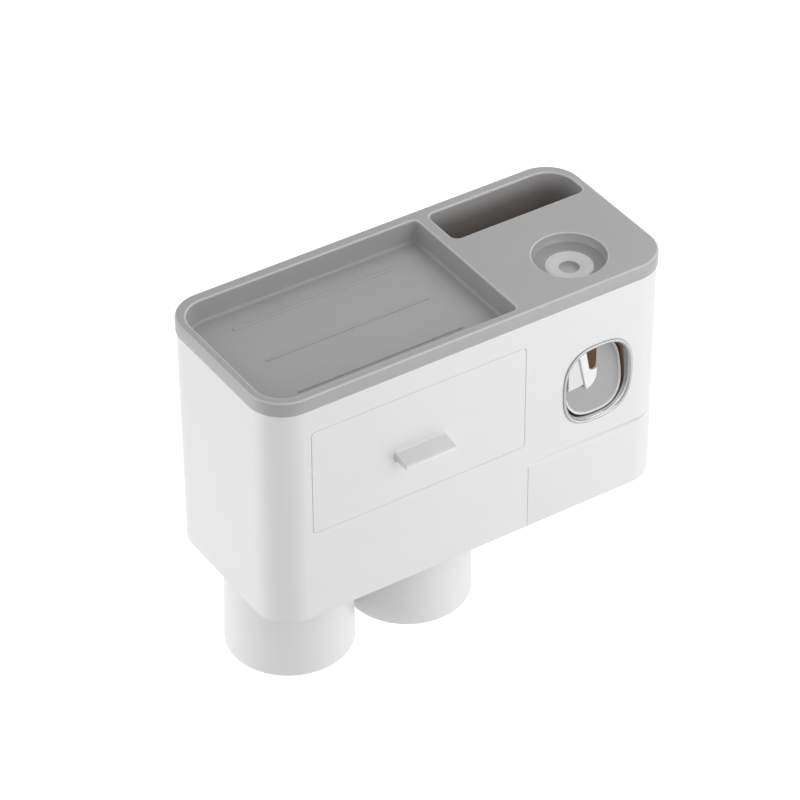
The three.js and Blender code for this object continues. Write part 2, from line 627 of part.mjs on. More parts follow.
function pumpHousing() {
  const room = pump.radius - pump.skin;
  const roof = zAt(pump.top + pump.skin);
  const profile = [
    [pump.inlet, roof],
    [room, roof],
    [room, zAt(pump.foot)],
    [pump.radius, zAt(pump.foot)],
    [pump.radius, roof],
    [pump.flange, roof],
    [pump.flange, zAt(pump.top)],
    [pump.inlet, zAt(pump.top)],
    [pump.inlet, roof],
  ];
  const ductZ = zAt(duct.elbow);
  const foot = ductZ - duct.radius;
  const pipe = post(duct.x, duct.y, duct.radius, foot, zAt(duct.top), ductSteps);
  const arm = spout(duct.x, zAt(duct.inlet), duct.radius, duct.y, socket.y);
  const chamber = post(socket.x, socket.y, room, zAt(pump.foot + past), roof, hiddenSteps);
  const pipeBore = post(duct.x, duct.y, duct.bore, foot + past, zAt(duct.top + past), ductSteps);
  const elbowBore = spout(duct.x, ductZ, duct.bore, duct.y - duct.radius - past, duct.y);
  const inletBore = spout(duct.x, zAt(duct.inlet), duct.bore, duct.y, socket.y);
  const can = turned(profile, socket.x, socket.y, hiddenSteps);
  const whole = join(can, cut(join(pipe, arm), chamber));
  return mesh("pump_housing", cut(whole, pipeBore, elbowBore, inletBore), clearPlastic);
}

function pumpBulb() {
  const inner = bulb.radius - bulb.skin;
  const height = bulb.foot - bulb.top;
  const dome = (radius, reach, steps = 5) =>
    Array.from({ length: steps + 1 }, (_, i) => {
      const turn = (Math.PI / 2) * (i / steps);
      return [radius * Math.sin(turn), zAt(bulb.top) - reach * Math.cos(turn)];
    });
  const outer = dome(bulb.radius, height);
  const inside = dome(inner, height - bulb.skin).reverse();
  const shoulder = zAt(bulb.top + bulb.edge);
  const profile = [
    ...outer.filter(([, z]) => z < shoulder),
    [bulb.radius, shoulder],
    [bulb.flange, shoulder],
    [bulb.flange, zAt(bulb.top)],
    ...inside,
  ];
  return mesh("pump_bulb", turned(profile, socket.x, socket.y, hiddenSteps), silicone);
}

function tubeGrommet() {
  const profile = [
    [grommet.neck, zAt(grommet.foot)],
    [grommet.sleeve, zAt(grommet.foot)],
    [grommet.sleeve, zAt(grommet.under)],
    [grommet.radius, zAt(grommet.under)],
    [grommet.radius, zAt(grommet.top + 0.9)],
    [grommet.radius - 0.4, zAt(grommet.top + 0.25)],
    [grommet.radius - 1.3, zAt(grommet.top)],
    [grommet.hole + 2.6, zAt(grommet.top + 0.35)],
    [grommet.hole + 0.7, zAt(grommet.dish - 0.5)],
    [grommet.hole, zAt(grommet.dish)],
    [grommet.neck, zAt(grommet.foot)],
  ];
  return mesh("tube_grommet", turned(profile, socket.x, socket.y), silicone);
}

function inletValve() {
  const under = zAt(valve.top + valve.thick);
  const flap = post(socket.x, socket.y, valve.radius, under, zAt(valve.top), hiddenSteps);
  return mesh("inlet_valve", flap, silicone);
}

function brushCover() {
  const region = block(cover.x0, rightX + past, frontY - past, cover.sideEnd, footZ, zAt(cover.top));
  const outer = straight(bodyOutline(0), footZ - past, topZ);
  const inner = straight(bodyOutline(cover.skin), footZ - 2 * past, topZ + past);
  const skin = cut(keep(outer, region), inner);

  // The top edge rolls round the hinge rod.
  const shoulder = new THREE.Shape();
  shoulder.moveTo(frontY - past, rodZ);
  shoulder.lineTo(frontY, rodZ);
  shoulder.absarc(rodY, rodZ, cover.barrel, Math.PI, Math.PI / 2, true);
  shoulder.lineTo(rodY, rodZ + cover.barrel + past);
  shoulder.lineTo(frontY - past, rodZ + cover.barrel + past);
  const trim = sidePrism(shoulder, cover.x0 - past, rightX + past);

  const curlShape = new THREE.Shape();
  const curlEnd = Math.PI - curl.turn;
  curlShape.absarc(rodY, rodZ, cover.barrel, Math.PI, curlEnd, true);
  curlShape.absarc(rodY, rodZ, curl.inner, curlEnd, Math.PI, false);
  const [left, right] = cover.barrelX;
  const roll = sidePrism(curlShape, cover.x0, curl.x1);
  const barrel = axle(rodY, rodZ, cover.barrel, left, right, circleSteps);
  const bore = axle(rodY, rodZ, coverRod.bore, left - past, right + past);
  return mesh("brush_cover", cut(join(cut(skin, trim), roll, barrel), bore), white);
}

function coverHingeRod() {
  return mesh("cover_hinge_rod", axle(rodY, rodZ, coverRod.radius, coverRod.x0, coverRod.x1), steel);
}

function brushRack() {
  const low = zAt(rack.down + rack.skin);
  const high = zAt(rack.down);
  const half = brushSlot.wide / 2;
  const region = block(lowerDivider.x1 + gap, rightX, rack.front, bayBack.y0 - gap, low, high);
  const sheet = keep(straight(bodyOutline(cover.skin + 2 * gap), low - past, high + past), region);
  const slots = Array.from({ length: brushSlot.count }, (_, i) => {
    const x = brushSlot.first + i * brushSlot.pitch;
    const box = { x0: x - half, x1: x + half, y0: rack.front - past, y1: rack.front + brushSlot.deep };
    const outline = roundedOutline(box, [square, half, half, square], roundSteps);
    return straight(outline, low - past, high + past);
  });
  return mesh("brush_rack", cut(sheet, ...slots), white);
}

function hangingCup(x, number) {
  const top = zAt(cup.top);
  const mouth = zAt(totalHeight);
  const shoulder = quarterRound(top, cupEdge.round, 1).map(([z, inset]) => [cup.base - inset, z]);
  const floor = top - cup.floor;
  const inside = cup.base - cup.skin;
  const rimMiddle = cup.mouth - cup.skin / 2;
  const profile = [
    [0, floor],
    [inside - cupEdge.round, floor],
    [inside - cupEdge.inner, floor - cupEdge.inner],
    [inside, floor - cupEdge.round],
    [cup.mouth - cup.skin, mouth + cupEdge.lip],
    [rimMiddle - cupEdge.land, mouth],
    [rimMiddle + cupEdge.land, mouth],
    [cup.mouth, mouth + cupEdge.lip],
    ...shoulder,
    [disc.pocket, top],
    [disc.pocket, top - disc.sunk],
    [0, top - disc.sunk],
  ];
  return mesh(`cup_${number}`, turned(profile, x, cup.y), white);
}

function cupDisc(x, number) {
  const low = zAt(cup.top + disc.sunk) + disc.above;
  const plug = post(x, cup.y, disc.radius, low, low + disc.thick, hiddenSteps);
  return mesh(`cup_disc_${number}`, plug, steel);
}

function seatMagnet(x, number) {
  const low = zAt(magnet.bossFoot) + magnet.sunk;
  const plug = post(x, cup.y, magnet.radius, low, low + magnet.thick, hiddenSteps);
  return mesh(`seat_magnet_${number}`, plug, magnetBlack);
}

function wallPlatePiece() {
  const face = -pad.thick;
  const front = face - wallPlate.thick;
  const sheet = frontPrism(
    roundedOutline(centred(wallPlate.wide, wallPlate.high), even(wallPlate.radius), tightSteps),
    front,
    face,
  );
  const root = front + wallPlate.thick / 2;
  const neckTop = hook.low + hook.neck;
  const lipTop = neckTop + hookLip.high;
  const lipBack = hook.front + hookLip.skin;
  const shape = polygon([
    [hook.front, hook.low],
    [root, hook.low],
    [root, neckTop],
    [lipBack, neckTop],
    [lipBack, lipTop],
    [hook.front + hookLip.chamfer, lipTop],
    [hook.front, lipTop - hookLip.chamfer],
  ]);
  const hooks = hook.xs.map((x) => sidePrism(shape, x - hook.wide / 2, x + hook.wide / 2));
  return mesh("wall_plate", join(sheet, ...hooks), clearPlastic);
}

function adhesivePad() {
  const outline = roundedOutline(centred(pad.wide, pad.high), even(pad.radius), tightSteps);
  return mesh("adhesive_pad", frontPrism(outline, -pad.thick, 0), foam);
}

const holder = new THREE.Group();
holder.add(topTray(), bodyShell(), rearPanel(), innerFrame(), drawer());
holder.add(bezelRing(), windowLiner(), pushPlate(), platePin(), nozzleBlock(), outletValve());
holder.add(tubeGrommet(), inletValve(), pumpHousing(), pumpBulb());
holder.add(brushCover(), coverHingeRod(), brushRack());
cup.xs.forEach((x, i) => {
  holder.add(hangingCup(x, i + 1), cupDisc(x, i + 1), seatMagnet(x, i + 1));
});

const assembly = new THREE.Group();
assembly.add(wallPlatePiece(), adhesivePad(), holder);

export default assembly;
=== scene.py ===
import math

import bpy
import numpy as np
from mathutils import Matrix, Vector
from mathutils.geometry import delaunay_2d_cdt


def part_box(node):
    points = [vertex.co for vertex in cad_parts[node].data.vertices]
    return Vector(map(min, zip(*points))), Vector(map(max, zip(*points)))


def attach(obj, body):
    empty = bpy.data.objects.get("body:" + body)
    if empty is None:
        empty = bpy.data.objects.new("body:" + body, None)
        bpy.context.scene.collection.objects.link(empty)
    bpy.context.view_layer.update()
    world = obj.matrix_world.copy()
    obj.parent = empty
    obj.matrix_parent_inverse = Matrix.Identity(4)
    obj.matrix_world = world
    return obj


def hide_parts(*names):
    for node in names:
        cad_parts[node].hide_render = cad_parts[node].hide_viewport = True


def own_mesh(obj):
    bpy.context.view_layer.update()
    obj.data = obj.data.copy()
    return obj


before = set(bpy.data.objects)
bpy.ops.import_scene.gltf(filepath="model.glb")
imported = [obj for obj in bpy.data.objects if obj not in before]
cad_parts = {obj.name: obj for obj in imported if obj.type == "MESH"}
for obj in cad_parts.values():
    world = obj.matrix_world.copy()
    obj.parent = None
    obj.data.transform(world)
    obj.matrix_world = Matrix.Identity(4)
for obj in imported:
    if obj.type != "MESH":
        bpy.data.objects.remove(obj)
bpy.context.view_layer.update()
scene = bpy.context.scene
mm = 0.001  # sizes below are millimetres, Blender's are metres
hold = 0.15  # a row this far before a rounding keeps the face beside it flat in shading
near = 0.01  # a distance too small to see
sameStop, samePoint = 1e-4, 1e-6  # how near a point is on a fold line, or the same as another
creaseAngle = 38  # edges that bend by more degrees are shaded sharp
print("frame loaded:", len(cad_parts), "nodes")


def boxOf(node):
    low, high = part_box(node)
    return np.array(low) / mm, np.array(high) / mm


def middleOf(node):
    low, high = boxOf(node)
    return (low + high) / 2


# Columns side by side; a single value fills its column.
def together(*columns):
    return np.stack(np.broadcast_arrays(*columns), -1)


def chain(*parts):
    return np.concatenate(parts)


# Values of a dictionary by their names, in one text.
def pick(values, names):
    return [values[name] for name in names.split()]


def quarter(steps, first=0.0):
    return np.linspace(first, np.pi / 2, steps + 1)


rimLow, rimHigh = boxOf("top_tray")
bodyLow, bodyHigh = boxOf("body_shell")
topZ, footZ, frontY = rimHigh[2], bodyLow[2], bodyLow[1]


# Corners (across, up, radius) of a rectangle, from the lower left one round to the upper left one.
def rectangle(x0, y0, x1, y1, *radii):
    return together([x0, x1, x1, x0], [y0, y0, y1, y1], radii)


# Closed outline from corners (across, up, radius), counter-clockwise. Each arc is centred one radius in
# from both edges; drawing the outline in by inset shortens outer arcs and lengthens inner ones. Straight
# runs get an extra point wherever they cross one of the stops.
def outline(corners, inset=0.0, steps=6, stops=np.zeros(0)):
    corner = np.asarray(corners, float)
    at, radius = corner[:, :2], corner[:, 2]
    leave = np.roll(at, -1, 0) - at
    leave /= np.linalg.norm(leave, axis=1)[:, None]
    arrive = np.roll(leave, 1, 0)
    inLeave = together(-leave[:, 1], leave[:, 0])
    inArrive = np.roll(inLeave, 1, 0)
    turn = arrive[:, 0] * leave[:, 1] - arrive[:, 1] * leave[:, 0]
    bend = np.sign(turn)
    spread = 1 + (inArrive * inLeave).sum(1)
    centre = at + (bend * radius / spread)[:, None] * (inArrive + inLeave)
    start = np.arctan2(-bend * inArrive[:, 1], -bend * inArrive[:, 0])
    sweep = np.arctan2(turn, (arrive * leave).sum(1))
    angle = start[:, None] + sweep[:, None] * np.linspace(0, 1, steps + 1)
    ray = together(np.cos(angle), np.sin(angle))
    arcs = centre[:, None] + (radius - bend * inset)[:, None, None] * ray
    edge = centre[:, None] + radius[:, None, None] * ray
    parts = []
    for bow, first, last in zip(arcs, edge[:, -1, 0], np.roll(edge[:, 0, 0], -1)):
        low, high = sorted([first, last])
        across = stops[(stops > low + near) & (stops < high - near)]
        if last < first:
            across = across[::-1]
        parts += [bow, together(across, bow[-1, 1])]
    return chain(*parts)


# Any closed outline drawn in: each point moves along the bisector of its two edges.
def drawnIn(flat, inset):
    ahead = np.roll(flat, -1, 0) - flat
    ahead /= np.linalg.norm(ahead, axis=1)[:, None]
    inward = together(-ahead[:, 1], ahead[:, 0])
    before = np.roll(inward, 1, 0)
    share = 1 + (before * inward).sum(1)
    return flat + inset * (before + inward) / share[:, None]


# Points of an arc from one angle to another, in degrees.
def arc(x, y, radius, first, last, steps=10):
    angle = np.radians(np.linspace(first, last, steps + 1))
    return together(x + radius * np.cos(angle), y + radius * np.sin(angle))


def circle(x, y, radius, steps=96):
    return arc(x, y, radius, 0, 360, steps)[:-1]


# Quarter round from a face (radius in, at depth) to a side (inset 0, radius deeper): the inset is one
# less the sine of the turn and the depth one less its cosine. A holding row comes first.
def roundOver(radius, depth=0.0, steps=5):
    turn = quarter(steps)
    bend = together(radius * (1 - np.sin(turn)), depth + radius * (1 - np.cos(turn)))
    return chain([[radius + hold, depth]], bend)


# The same round from a side on to the face at depth, which lies radius further in.
def roundUnder(radius, depth, steps=5):
    turn = quarter(steps)
    bend = together(radius * (1 - np.cos(turn)), depth - radius * (1 - np.sin(turn)))
    return chain(bend, [[radius + hold, depth]])


# Both, for a piece of even thickness.
def slab(front, back, thick):
    return chain(roundOver(front), roundUnder(back, thick))


# Ways from a flat drawing (across, up) and a depth into space: on the top and on the front.
def onTop(flat, depth):
    return together(flat[:, 0], flat[:, 1], topZ - depth)


def onFront(flat, depth):
    return together(flat[:, 0], frontY + depth, flat[:, 1])


def placed(data, name, matrix=Matrix.Identity(4)):
    thing = bpy.data.objects.new(name, data)
    scene.collection.objects.link(thing)
    thing.matrix_world = matrix
    return thing


class Moulding:
    # Rows of points that share their vertices, so that the finished skin is closed.
    def __init__(self):
        self.points, self.faces, self.tones, self.total = [], [], [], 0
        self.tone = 0  # which of the piece's finishes the next faces take

    def take(self, points):
        index = self.total + np.arange(len(points))
        self.points.append(points)
        self.total += len(points)
        return index

    def addFaces(self, faces):
        self.faces += faces
        self.tones += [self.tone] * len(faces)

    # Joins row after row of equal length with squares; a closed sweep comes back to its first row.
    def join(self, rows, closed=False, tones=None):
        grid = np.stack(list(rows) + ([rows[0]] if closed else []))
        beside = np.roll(grid, -1, 1)
        squares = together(grid[:-1], grid[1:], beside[1:], beside[:-1])
        self.addFaces(squares.reshape(-1, 4).tolist())
        if tones is not None:  # one tone for each step
            self.tones[-squares[..., 0].size:] = np.repeat(tones, squares.shape[1]).tolist()

    # Carries an outline along a profile of (inset, depth) steps and gives back its first and last edge.
    def carry(self, loop, profile, place, closed=False, tones=None):
        flats = [loop(inset) for inset, depth in profile]
        rows = [self.take(place(flat, depth)) for flat, (inset, depth) in zip(flats, profile)]
        self.join(rows, closed, tones)
        return (rows[0], flats[0]), (rows[-1], flats[-1])

    # Flat face between closed edges: triangles of the edges' points, kept where the triangle's middle lies
    # inside an odd number of edges. Fold lines at the given stops keep a bent face on its curve.
    def fill(self, edges, facing=1, stops=()):
        index, flat = (chain(*parts) for parts in zip(*edges))
        rings = np.split(np.arange(len(flat)), np.cumsum([len(edge[0]) for edge in edges])[:-1])
        links = chain(*(together(ring, np.roll(ring, -1)) for ring in rings))
        folds = [np.flatnonzero(np.abs(flat[:, 0] - stop) < sameStop) for stop in stops]
        pairs = [fold[np.argsort(flat[fold, 1])][:2].tolist() for fold in folds if len(fold) > 1]
        corners = [Vector(point) for point in flat.tolist()]
        found = delaunay_2d_cdt(corners, links.tolist() + pairs, [], 0, samePoint)
        kept = np.array([source[0] for source in found[3]])
        triangle = kept[np.array(found[2])]
        (startX, startY), (endX, endY) = flat[links[:, 0]].T, flat[links[:, 1]].T
        middleX, middleY = flat[triangle].mean(1).T[:, :, None]
        spans = (startY > middleY) != (endY > middleY)
        rise = np.where(startY == endY, 1.0, endY - startY)
        crossing = startX + (middleY - startY) * (endX - startX) / rise
        triangle = triangle[(spans & (crossing > middleX)).sum(1) % 2 == 1]
        ahead, aside = flat[triangle[:, 1:]].transpose(1, 2, 0) - flat[triangle[:, 0]].T
        wrong = (ahead[0] * aside[1] - ahead[1] * aside[0]) * facing < 0
        triangle[wrong] = triangle[wrong][:, ::-1]
        self.addFaces(index[triangle].tolist())

    # A solid between a front and a back face, with any holes, from a profile of (inset, depth) steps.
    def solid(self, outer, profile, place, holes=(), stops=()):
        loops = [outer] + [lambda inset, hole=hole: hole(-inset)[::-1] for hole in holes]
        ends = [self.carry(loop, profile, place) for loop in loops]
        self.fill([end[0] for end in ends], 1, stops)
        self.fill([end[1] for end in ends], -1, stops)

    # A pocket in the top: rounded mouth, wall leaning in by the draft, hollow round into the floor. The
    # mouth's rounding takes a lighter tone as a painted highlight, and the inside a tone that paints its
    # shade.
    def pocket(self, corners, size, highlightTone, wallTone):
        turn = quarter(6)
        lean, hollow, floor = pick(size, "draft hollow floor")
        foot = together(-lean - hollow * (1 - np.cos(turn)), floor - hollow * (1 - np.sin(turn)))
        profile = chain(roundOver(size["lip"]), foot, [[-lean - hollow - hold, floor]])
        tones = np.full(len(profile) - 1, wallTone)
        tones[0], tones[1:4] = self.tone, highlightTone
        mouth, bottom = self.carry(
            lambda inset: outline(corners, -inset, 28)[::-1], profile, onTop, tones=tones
        )
        outside, self.tone = self.tone, wallTone
        self.fill([bottom])
        self.tone = outside
        return mouth

    # A plain block, as a square outline carried from its top to its foot.
    def block(self, low, high):
        plan = rectangle(*low[:2], *high[:2], 0)[:, :2]
        self.solid(lambda inset: plan, [(0, topZ - high[2]), (0, topZ - low[2])], onTop)

    # A bar across the object: its side view (y, z), carried from right to left with rounded ends.
    def bar(self, side, left, right, edge, holes=()):
        def across(flat, depth):
            return together(right - depth, flat[:, 0], flat[:, 1])

        self.solid(side, slab(edge, edge, right - left), across, holes)

    # A turned piece: circles of the profile's (radius, height) steps round an upright axis.
    def turned(self, profile, x, y, steps=96, closed=False, tones=None):
        steep = together(profile[:, 0], topZ - profile[:, 1])
        return self.carry(lambda radius: circle(x, y, radius, steps), steep, onTop, closed, tones)

    def build(self, name, body, slot, looks, *nodes):
        mesh = bpy.data.meshes.new(name)
        mesh.from_pydata((chain(*self.points) * mm).tolist(), [], self.faces)
        mesh.shade_smooth()
        mesh.set_sharp_from_angle(angle=math.radians(creaseAngle))
        for look in looks:
            mesh.materials.append(skin[look])
        mesh.polygons.foreach_set("material_index", self.tones)
        piece = placed(mesh, name)
        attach(piece, body)
        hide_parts(*nodes)
        return piece


# Finishes: darker and lighter colour, roughness, relief in millimetres. Cloudy noise drifts the colour
# between the two and the gloss with it, and a finer noise gives the skin its grain.
finishes = {
    "whitePlastic": ((0.80, 0.79, 0.80), (0.83, 0.82, 0.83), 0.34, 0.004),
    # painted light: a brighter white for the nozzle's lit facet and the pull's tip highlight
    "nozzleWhite": ((0.88, 0.87, 0.875), (0.91, 0.90, 0.905), 0.2, 0.002),
    "greyPlastic": ((0.40, 0.394, 0.398), (0.425, 0.418, 0.422), 0.36, 0.006),
    # painted shade: a darker white for the nozzle's left facet
    "nozzleShade": ((0.73, 0.725, 0.74), (0.76, 0.755, 0.77), 0.3, 0.002),
    # painted highlight: a lighter grey for edge roundings
    "edgeGrey": ((0.57, 0.565, 0.57), (0.60, 0.595, 0.60), 0.3, 0.006),
    # a shade darker than the top as painted shade of the recess, and rougher
    "trayGrey": ((0.39, 0.385, 0.39), (0.42, 0.415, 0.42), 0.5, 0.008),
    # painted shade: a darker grey for the socket's wall foot and sloping ring
    "ledgeGrey": ((0.28, 0.275, 0.28), (0.31, 0.305, 0.31), 0.5, 0.008),
    "plateGrey": ((0.37, 0.365, 0.37), (0.39, 0.385, 0.39), 0.45, 0.008),
    "brownPlastic": ((0.092, 0.045, 0.02), (0.116, 0.058, 0.026), 0.45, 0.004),
    "clearPlastic": ((0.68, 0.70, 0.72), (0.72, 0.74, 0.76), 0.2, 0.002),
    "foam": ((0.62, 0.62, 0.60), (0.72, 0.72, 0.70), 0.9, 0.05),
    # painted light: a lighter brown than the outlet's, for the liner in the shaded recess
    "linerBrown": ((0.30, 0.19, 0.125), (0.35, 0.22, 0.145), 0.45, 0.004),
    "silicone": ((0.62, 0.62, 0.62), (0.66, 0.66, 0.66), 0.5, 0.004),
    "siliconeShade": ((0.44, 0.44, 0.44), (0.48, 0.48, 0.48), 0.5, 0.004),
    # the slot's grey, which darkens with depth as painted shade
    "slotGrey": ((0.42, 0.414, 0.418), (0.445, 0.438, 0.442), 0.36, 0.008),
}
metals = {
    "chrome": ((0.31, 0.312, 0.315), (0.33, 0.332, 0.335), 0.28, 0.001),
    # painted reflection: a bright metal for the ring's bore, going grey higher up
    "brightTrim": ((0.90, 0.90, 0.905), (0.93, 0.93, 0.935), 0.24, 0.0005),
    "steel": ((0.50, 0.51, 0.52), (0.58, 0.59, 0.60), 0.3, 0.002),
    "magnet": ((0.10, 0.10, 0.11), (0.14, 0.14, 0.15), 0.4, 0.002),
}
sheens = {"brownPlastic": 0.1}  # the others keep plainSheen
plainSheen, glossDrift = 0.5, 0.1
cloudScale, grainScale = 45.0, 2600.0  # noise cells to the metre
# How far light spreads in the silicone.
milk = {"Subsurface Weight": 0.35, "Subsurface Scale": 0.002, "Subsurface Radius": (1, 1, 1)}
# Painted light: depths below the rim's top between which a finish goes over to another colour, and that
# colour. The slot darkens with depth as painted shade; the ring's bore is bright low down as a painted
# reflection.
paintedLightByDepth = {
    "slotGrey": (1.5, 13.0, (0.27, 0.25, 0.24)), "brightTrim": (80.0, 66.0, (0.52, 0.52, 0.525)),
}


# Values and links for a node's inputs: the tree's node of that name, or a new one of that kind.
def setNode(tree, kind, values, links):
    found = tree.nodes.get(kind) or tree.nodes.new(kind)
    for name, value in values.items():
        found.inputs[name].default_value = value
    for name, output in links.items():
        tree.links.new(output, found.inputs[name])
    return found


def finish(name, dark, light, rough, relief, metallic=0.0):
    material = bpy.data.materials.new(name)
    material.use_nodes = True
    tree = material.node_tree
    where = setNode(tree, "ShaderNodeTexCoord", {}, {}).outputs["Object"]
    cloud = setNode(tree, "ShaderNodeTexNoise", {"Scale": cloudScale}, {"Vector": where}).outputs["Fac"]
    shades = setNode(tree, "ShaderNodeValToRGB", {}, {"Fac": cloud})
    shades.color_ramp.elements[0].color = (*dark, 1)
    shades.color_ramp.elements[1].color = (*light, 1)
    span = {"To Min": rough * (1 - glossDrift), "To Max": rough * (1 + glossDrift)}
    gloss = setNode(tree, "ShaderNodeMapRange", span, {"Value": cloud})
    grain = setNode(tree, "ShaderNodeTexNoise", {"Scale": grainScale}, {"Vector": where}).outputs["Fac"]
    bump = setNode(tree, "ShaderNodeBump", {"Distance": relief * mm}, {"Height": grain})
    fixed = {"Metallic": metallic, "Specular IOR Level": sheens.get(name, plainSheen)}
    setNode(tree, "Principled BSDF", fixed, {
        "Base Color": shades.outputs["Color"], "Roughness": gloss.outputs["Result"],
        "Normal": bump.outputs["Normal"],
    })
    return material


# Painted shade: the slot's pocket goes to a dark brown-grey as it gets deeper. Painted reflection: the
# ring's bore goes to grey as it goes up, from bright metal low down.
def paintLightByDepth(material, start, end, colour):
    tree = material.node_tree
    where = tree.nodes["Texture Coordinate"].outputs["Object"]
    height = setNode(tree, "ShaderNodeSeparateXYZ", {}, {"Vector": where}).outputs["Z"]
    span = {"From Min": (topZ - start) * mm, "From Max": (topZ - end) * mm}
    deep = setNode(tree, "ShaderNodeMapRange", span, {"Value": height})
    deep.interpolation_type = "SMOOTHSTEP"
    blend = tree.nodes.new("ShaderNodeMix")
    blend.data_type = "RGBA"
    setNode(tree, blend.name, {"B": (*colour, 1)}, {
        "Factor": deep.outputs["Result"], "A": tree.nodes["Color Ramp"].outputs["Color"],
    })
    setNode(tree, "Principled BSDF", {}, {"Base Color": blend.outputs["Result"]})


skin = {name: finish(name, *look) for name, look in finishes.items()}
skin |= {name: finish(name, *look, metallic=1.0) for name, look in metals.items()}
setNode(skin["silicone"].node_tree, "Principled BSDF", milk, {})
for name, shade in paintedLightByDepth.items():
    paintLightByDepth(skin[name], *shade)
print("finishes made:", len(skin))


# Grey top: the rim slab with the shallow tray, the deep slot and the round socket let into it.
topTray = {
    "corner": 19.0, "rim": 8.0, "round": 1.3, "under": 0.3, "skirt": 12.0, "skirtIn": 3.15,
    "wallUnder": 1.2, "roundUnder": 0.5, "edge": 4.6, "front": 4.8, "rear": 6.5,
    "tray": {"right": 88.8, "tight": 2.5, "lip": 1.1, "draft": 0.6, "hollow": 1.6, "floor": 12.0},
    "slot": {
        "left": 82.2, "deep": 24.8, "tight": 4.0, "lip": 1.1, "draft": 0.8, "hollow": 2.0, "floor": 40.0,
    },
    "rib": {
        "left": 22.9, "right": 21.2, "wide": 1.6, "high": 0.7, "sunk": 0.4, "ys": (-21.8, -51.2, -80.0),
        "end": 0.98, "crown": 0.08,  # ends a little less than half round, so that their two arcs stay apart
    },
}
socket = {
    "mouth": 18.4, "lip": 0.9, "foot": 17.25, "footOut": 0.05, "step": 5.0, "hollow": 0.5, "fall": 1.0,
    "seat": 12.4, "seatEdge": 0.3, "ledge": 10.5, "through": 9.5,
}
socketX, socketY = middleOf("tube_grommet")[:2]


def buildTopTray():
    mould = Moulding()
    tray, slot, rib = pick(topTray, "tray slot rib")
    looks = ["greyPlastic", "slotGrey", "ledgeGrey", "edgeGrey", "trayGrey"]
    slotShadeTone, ledgeShadeTone, highlightTone, trayShadeTone = 1, 2, 3, 4
    margin, corner, foot, rimDown, skirtIn = pick(topTray, "edge corner skirt rim skirtIn")
    x0, x1 = rimLow[0] + margin, rimHigh[0] - margin
    y0, y1 = rimLow[1] + topTray["front"], rimHigh[1] - topTray["rear"]
    wide, tight, snug = corner - margin, tray["tight"], slot["tight"]
    trayRight, slotLeft = rimHigh[0] - tray["right"], rimHigh[0] - slot["left"]
    trayCorners = rectangle(x0, y0, trayRight, y1, wide, tight, tight, wide)
    slotCorners = rectangle(slotLeft, y1 - slot["deep"], x1, y1, snug, snug, wide, snug)
    rimCorners = rectangle(*rimLow[:2], *rimHigh[:2], corner)
    skirt = [[skirtIn, rimDown], [skirtIn, foot]]
    rimFoot = roundUnder(topTray["under"], rimDown, 3)
    rimProfile = chain(roundOver(topTray["round"], steps=8), rimFoot, skirt)
    tones = np.zeros(len(rimProfile) - 1, int)
    # Painted highlight: the rim's edge rounding takes a lighter grey.
    tones[3:7] = highlightTone  # edges are a little lighter
    rimTop, rimBack = mould.carry(lambda inset: outline(rimCorners, inset, 36), rimProfile, onTop, tones=tones)
    trayMouth = mould.pocket(trayCorners, tray, highlightTone, trayShadeTone)
    slotMouth = mould.pocket(slotCorners, slot, highlightTone, slotShadeTone)

    # The socket's steps are radii at depths: mouth, leaning wall, sloping ring, seat and the way through.
    lip = roundOver(socket["lip"])
    wallFoot, step, hollow = pick(socket, "foot step hollow")
    seat, seatEdge, ledge, through = pick(socket, "seat seatEdge ledge through")
    seatTop = step + socket["fall"]
    steps = chain(lip + [socket["mouth"], 0], [
        (wallFoot + socket["footOut"], step - hollow), (wallFoot - hollow, step + 2 * near),
        (seat + seatEdge, seatTop), (seat, seatTop + seatEdge),
        (seat, ledge), (through, ledge), (through, foot),
    ])
    tones = np.zeros(len(steps) - 1, int)
    # Painted highlight: the socket's lip rounding takes the lighter grey.
    tones[1:4] = highlightTone
    # Painted shade: the socket's wall foot and sloping ring take a darker grey.
    tones[len(lip):len(lip) + 2] = ledgeShadeTone  # the wall's foot and the sloping ring are darker
    socketTop, socketBack = mould.carry(
        lambda radius: circle(socketX, socketY, radius, 128)[::-1], steps, onTop, tones=tones
    )
    mould.fill([rimTop, socketTop, trayMouth, slotMouth])

    # The undersides of the tray and of the slot's pocket hang below the slab.
    hanging = []
    thick = topTray["wallUnder"]
    for corners, size in ((trayCorners, tray), (slotCorners, slot)):
        drop = chain([[0, foot]], roundUnder(topTray["roundUnder"], size["floor"] + thick))
        top, low = mould.carry(lambda inset: outline(corners, inset - thick, 12), drop, onTop)
        mould.fill([low], -1)
        hanging.append(top)
    mould.fill([rimBack, socketBack] + hanging, -1)

    # Ribs on the tray's floor: low domes with round ends, their feet sunk in the floor.
    half, floor = rib["wide"] / 2, tray["floor"]
    turn = quarter(6, rib["crown"])
    crown = together(half * (1 - np.sin(turn)), floor - rib["high"] * np.cos(turn))
    ribProfile = chain(crown, [[0, floor + rib["sunk"]]])
    # The ribs take the tray's inside finish, a shade darker as painted shade.
    mould.tone = trayShadeTone
    for y in rib["ys"]:
        ribLeft, ribRight = x0 + rib["left"], trayRight - rib["right"]
        ends = rectangle(ribLeft, y - half, ribRight, y + half, half * rib["end"])
        mould.solid(lambda inset: outline(ends, inset), ribProfile, onTop)
    mould.build("topTray", "holder", "grey_plastic", looks, "top_tray")


buildTopTray()
print("top tray built")


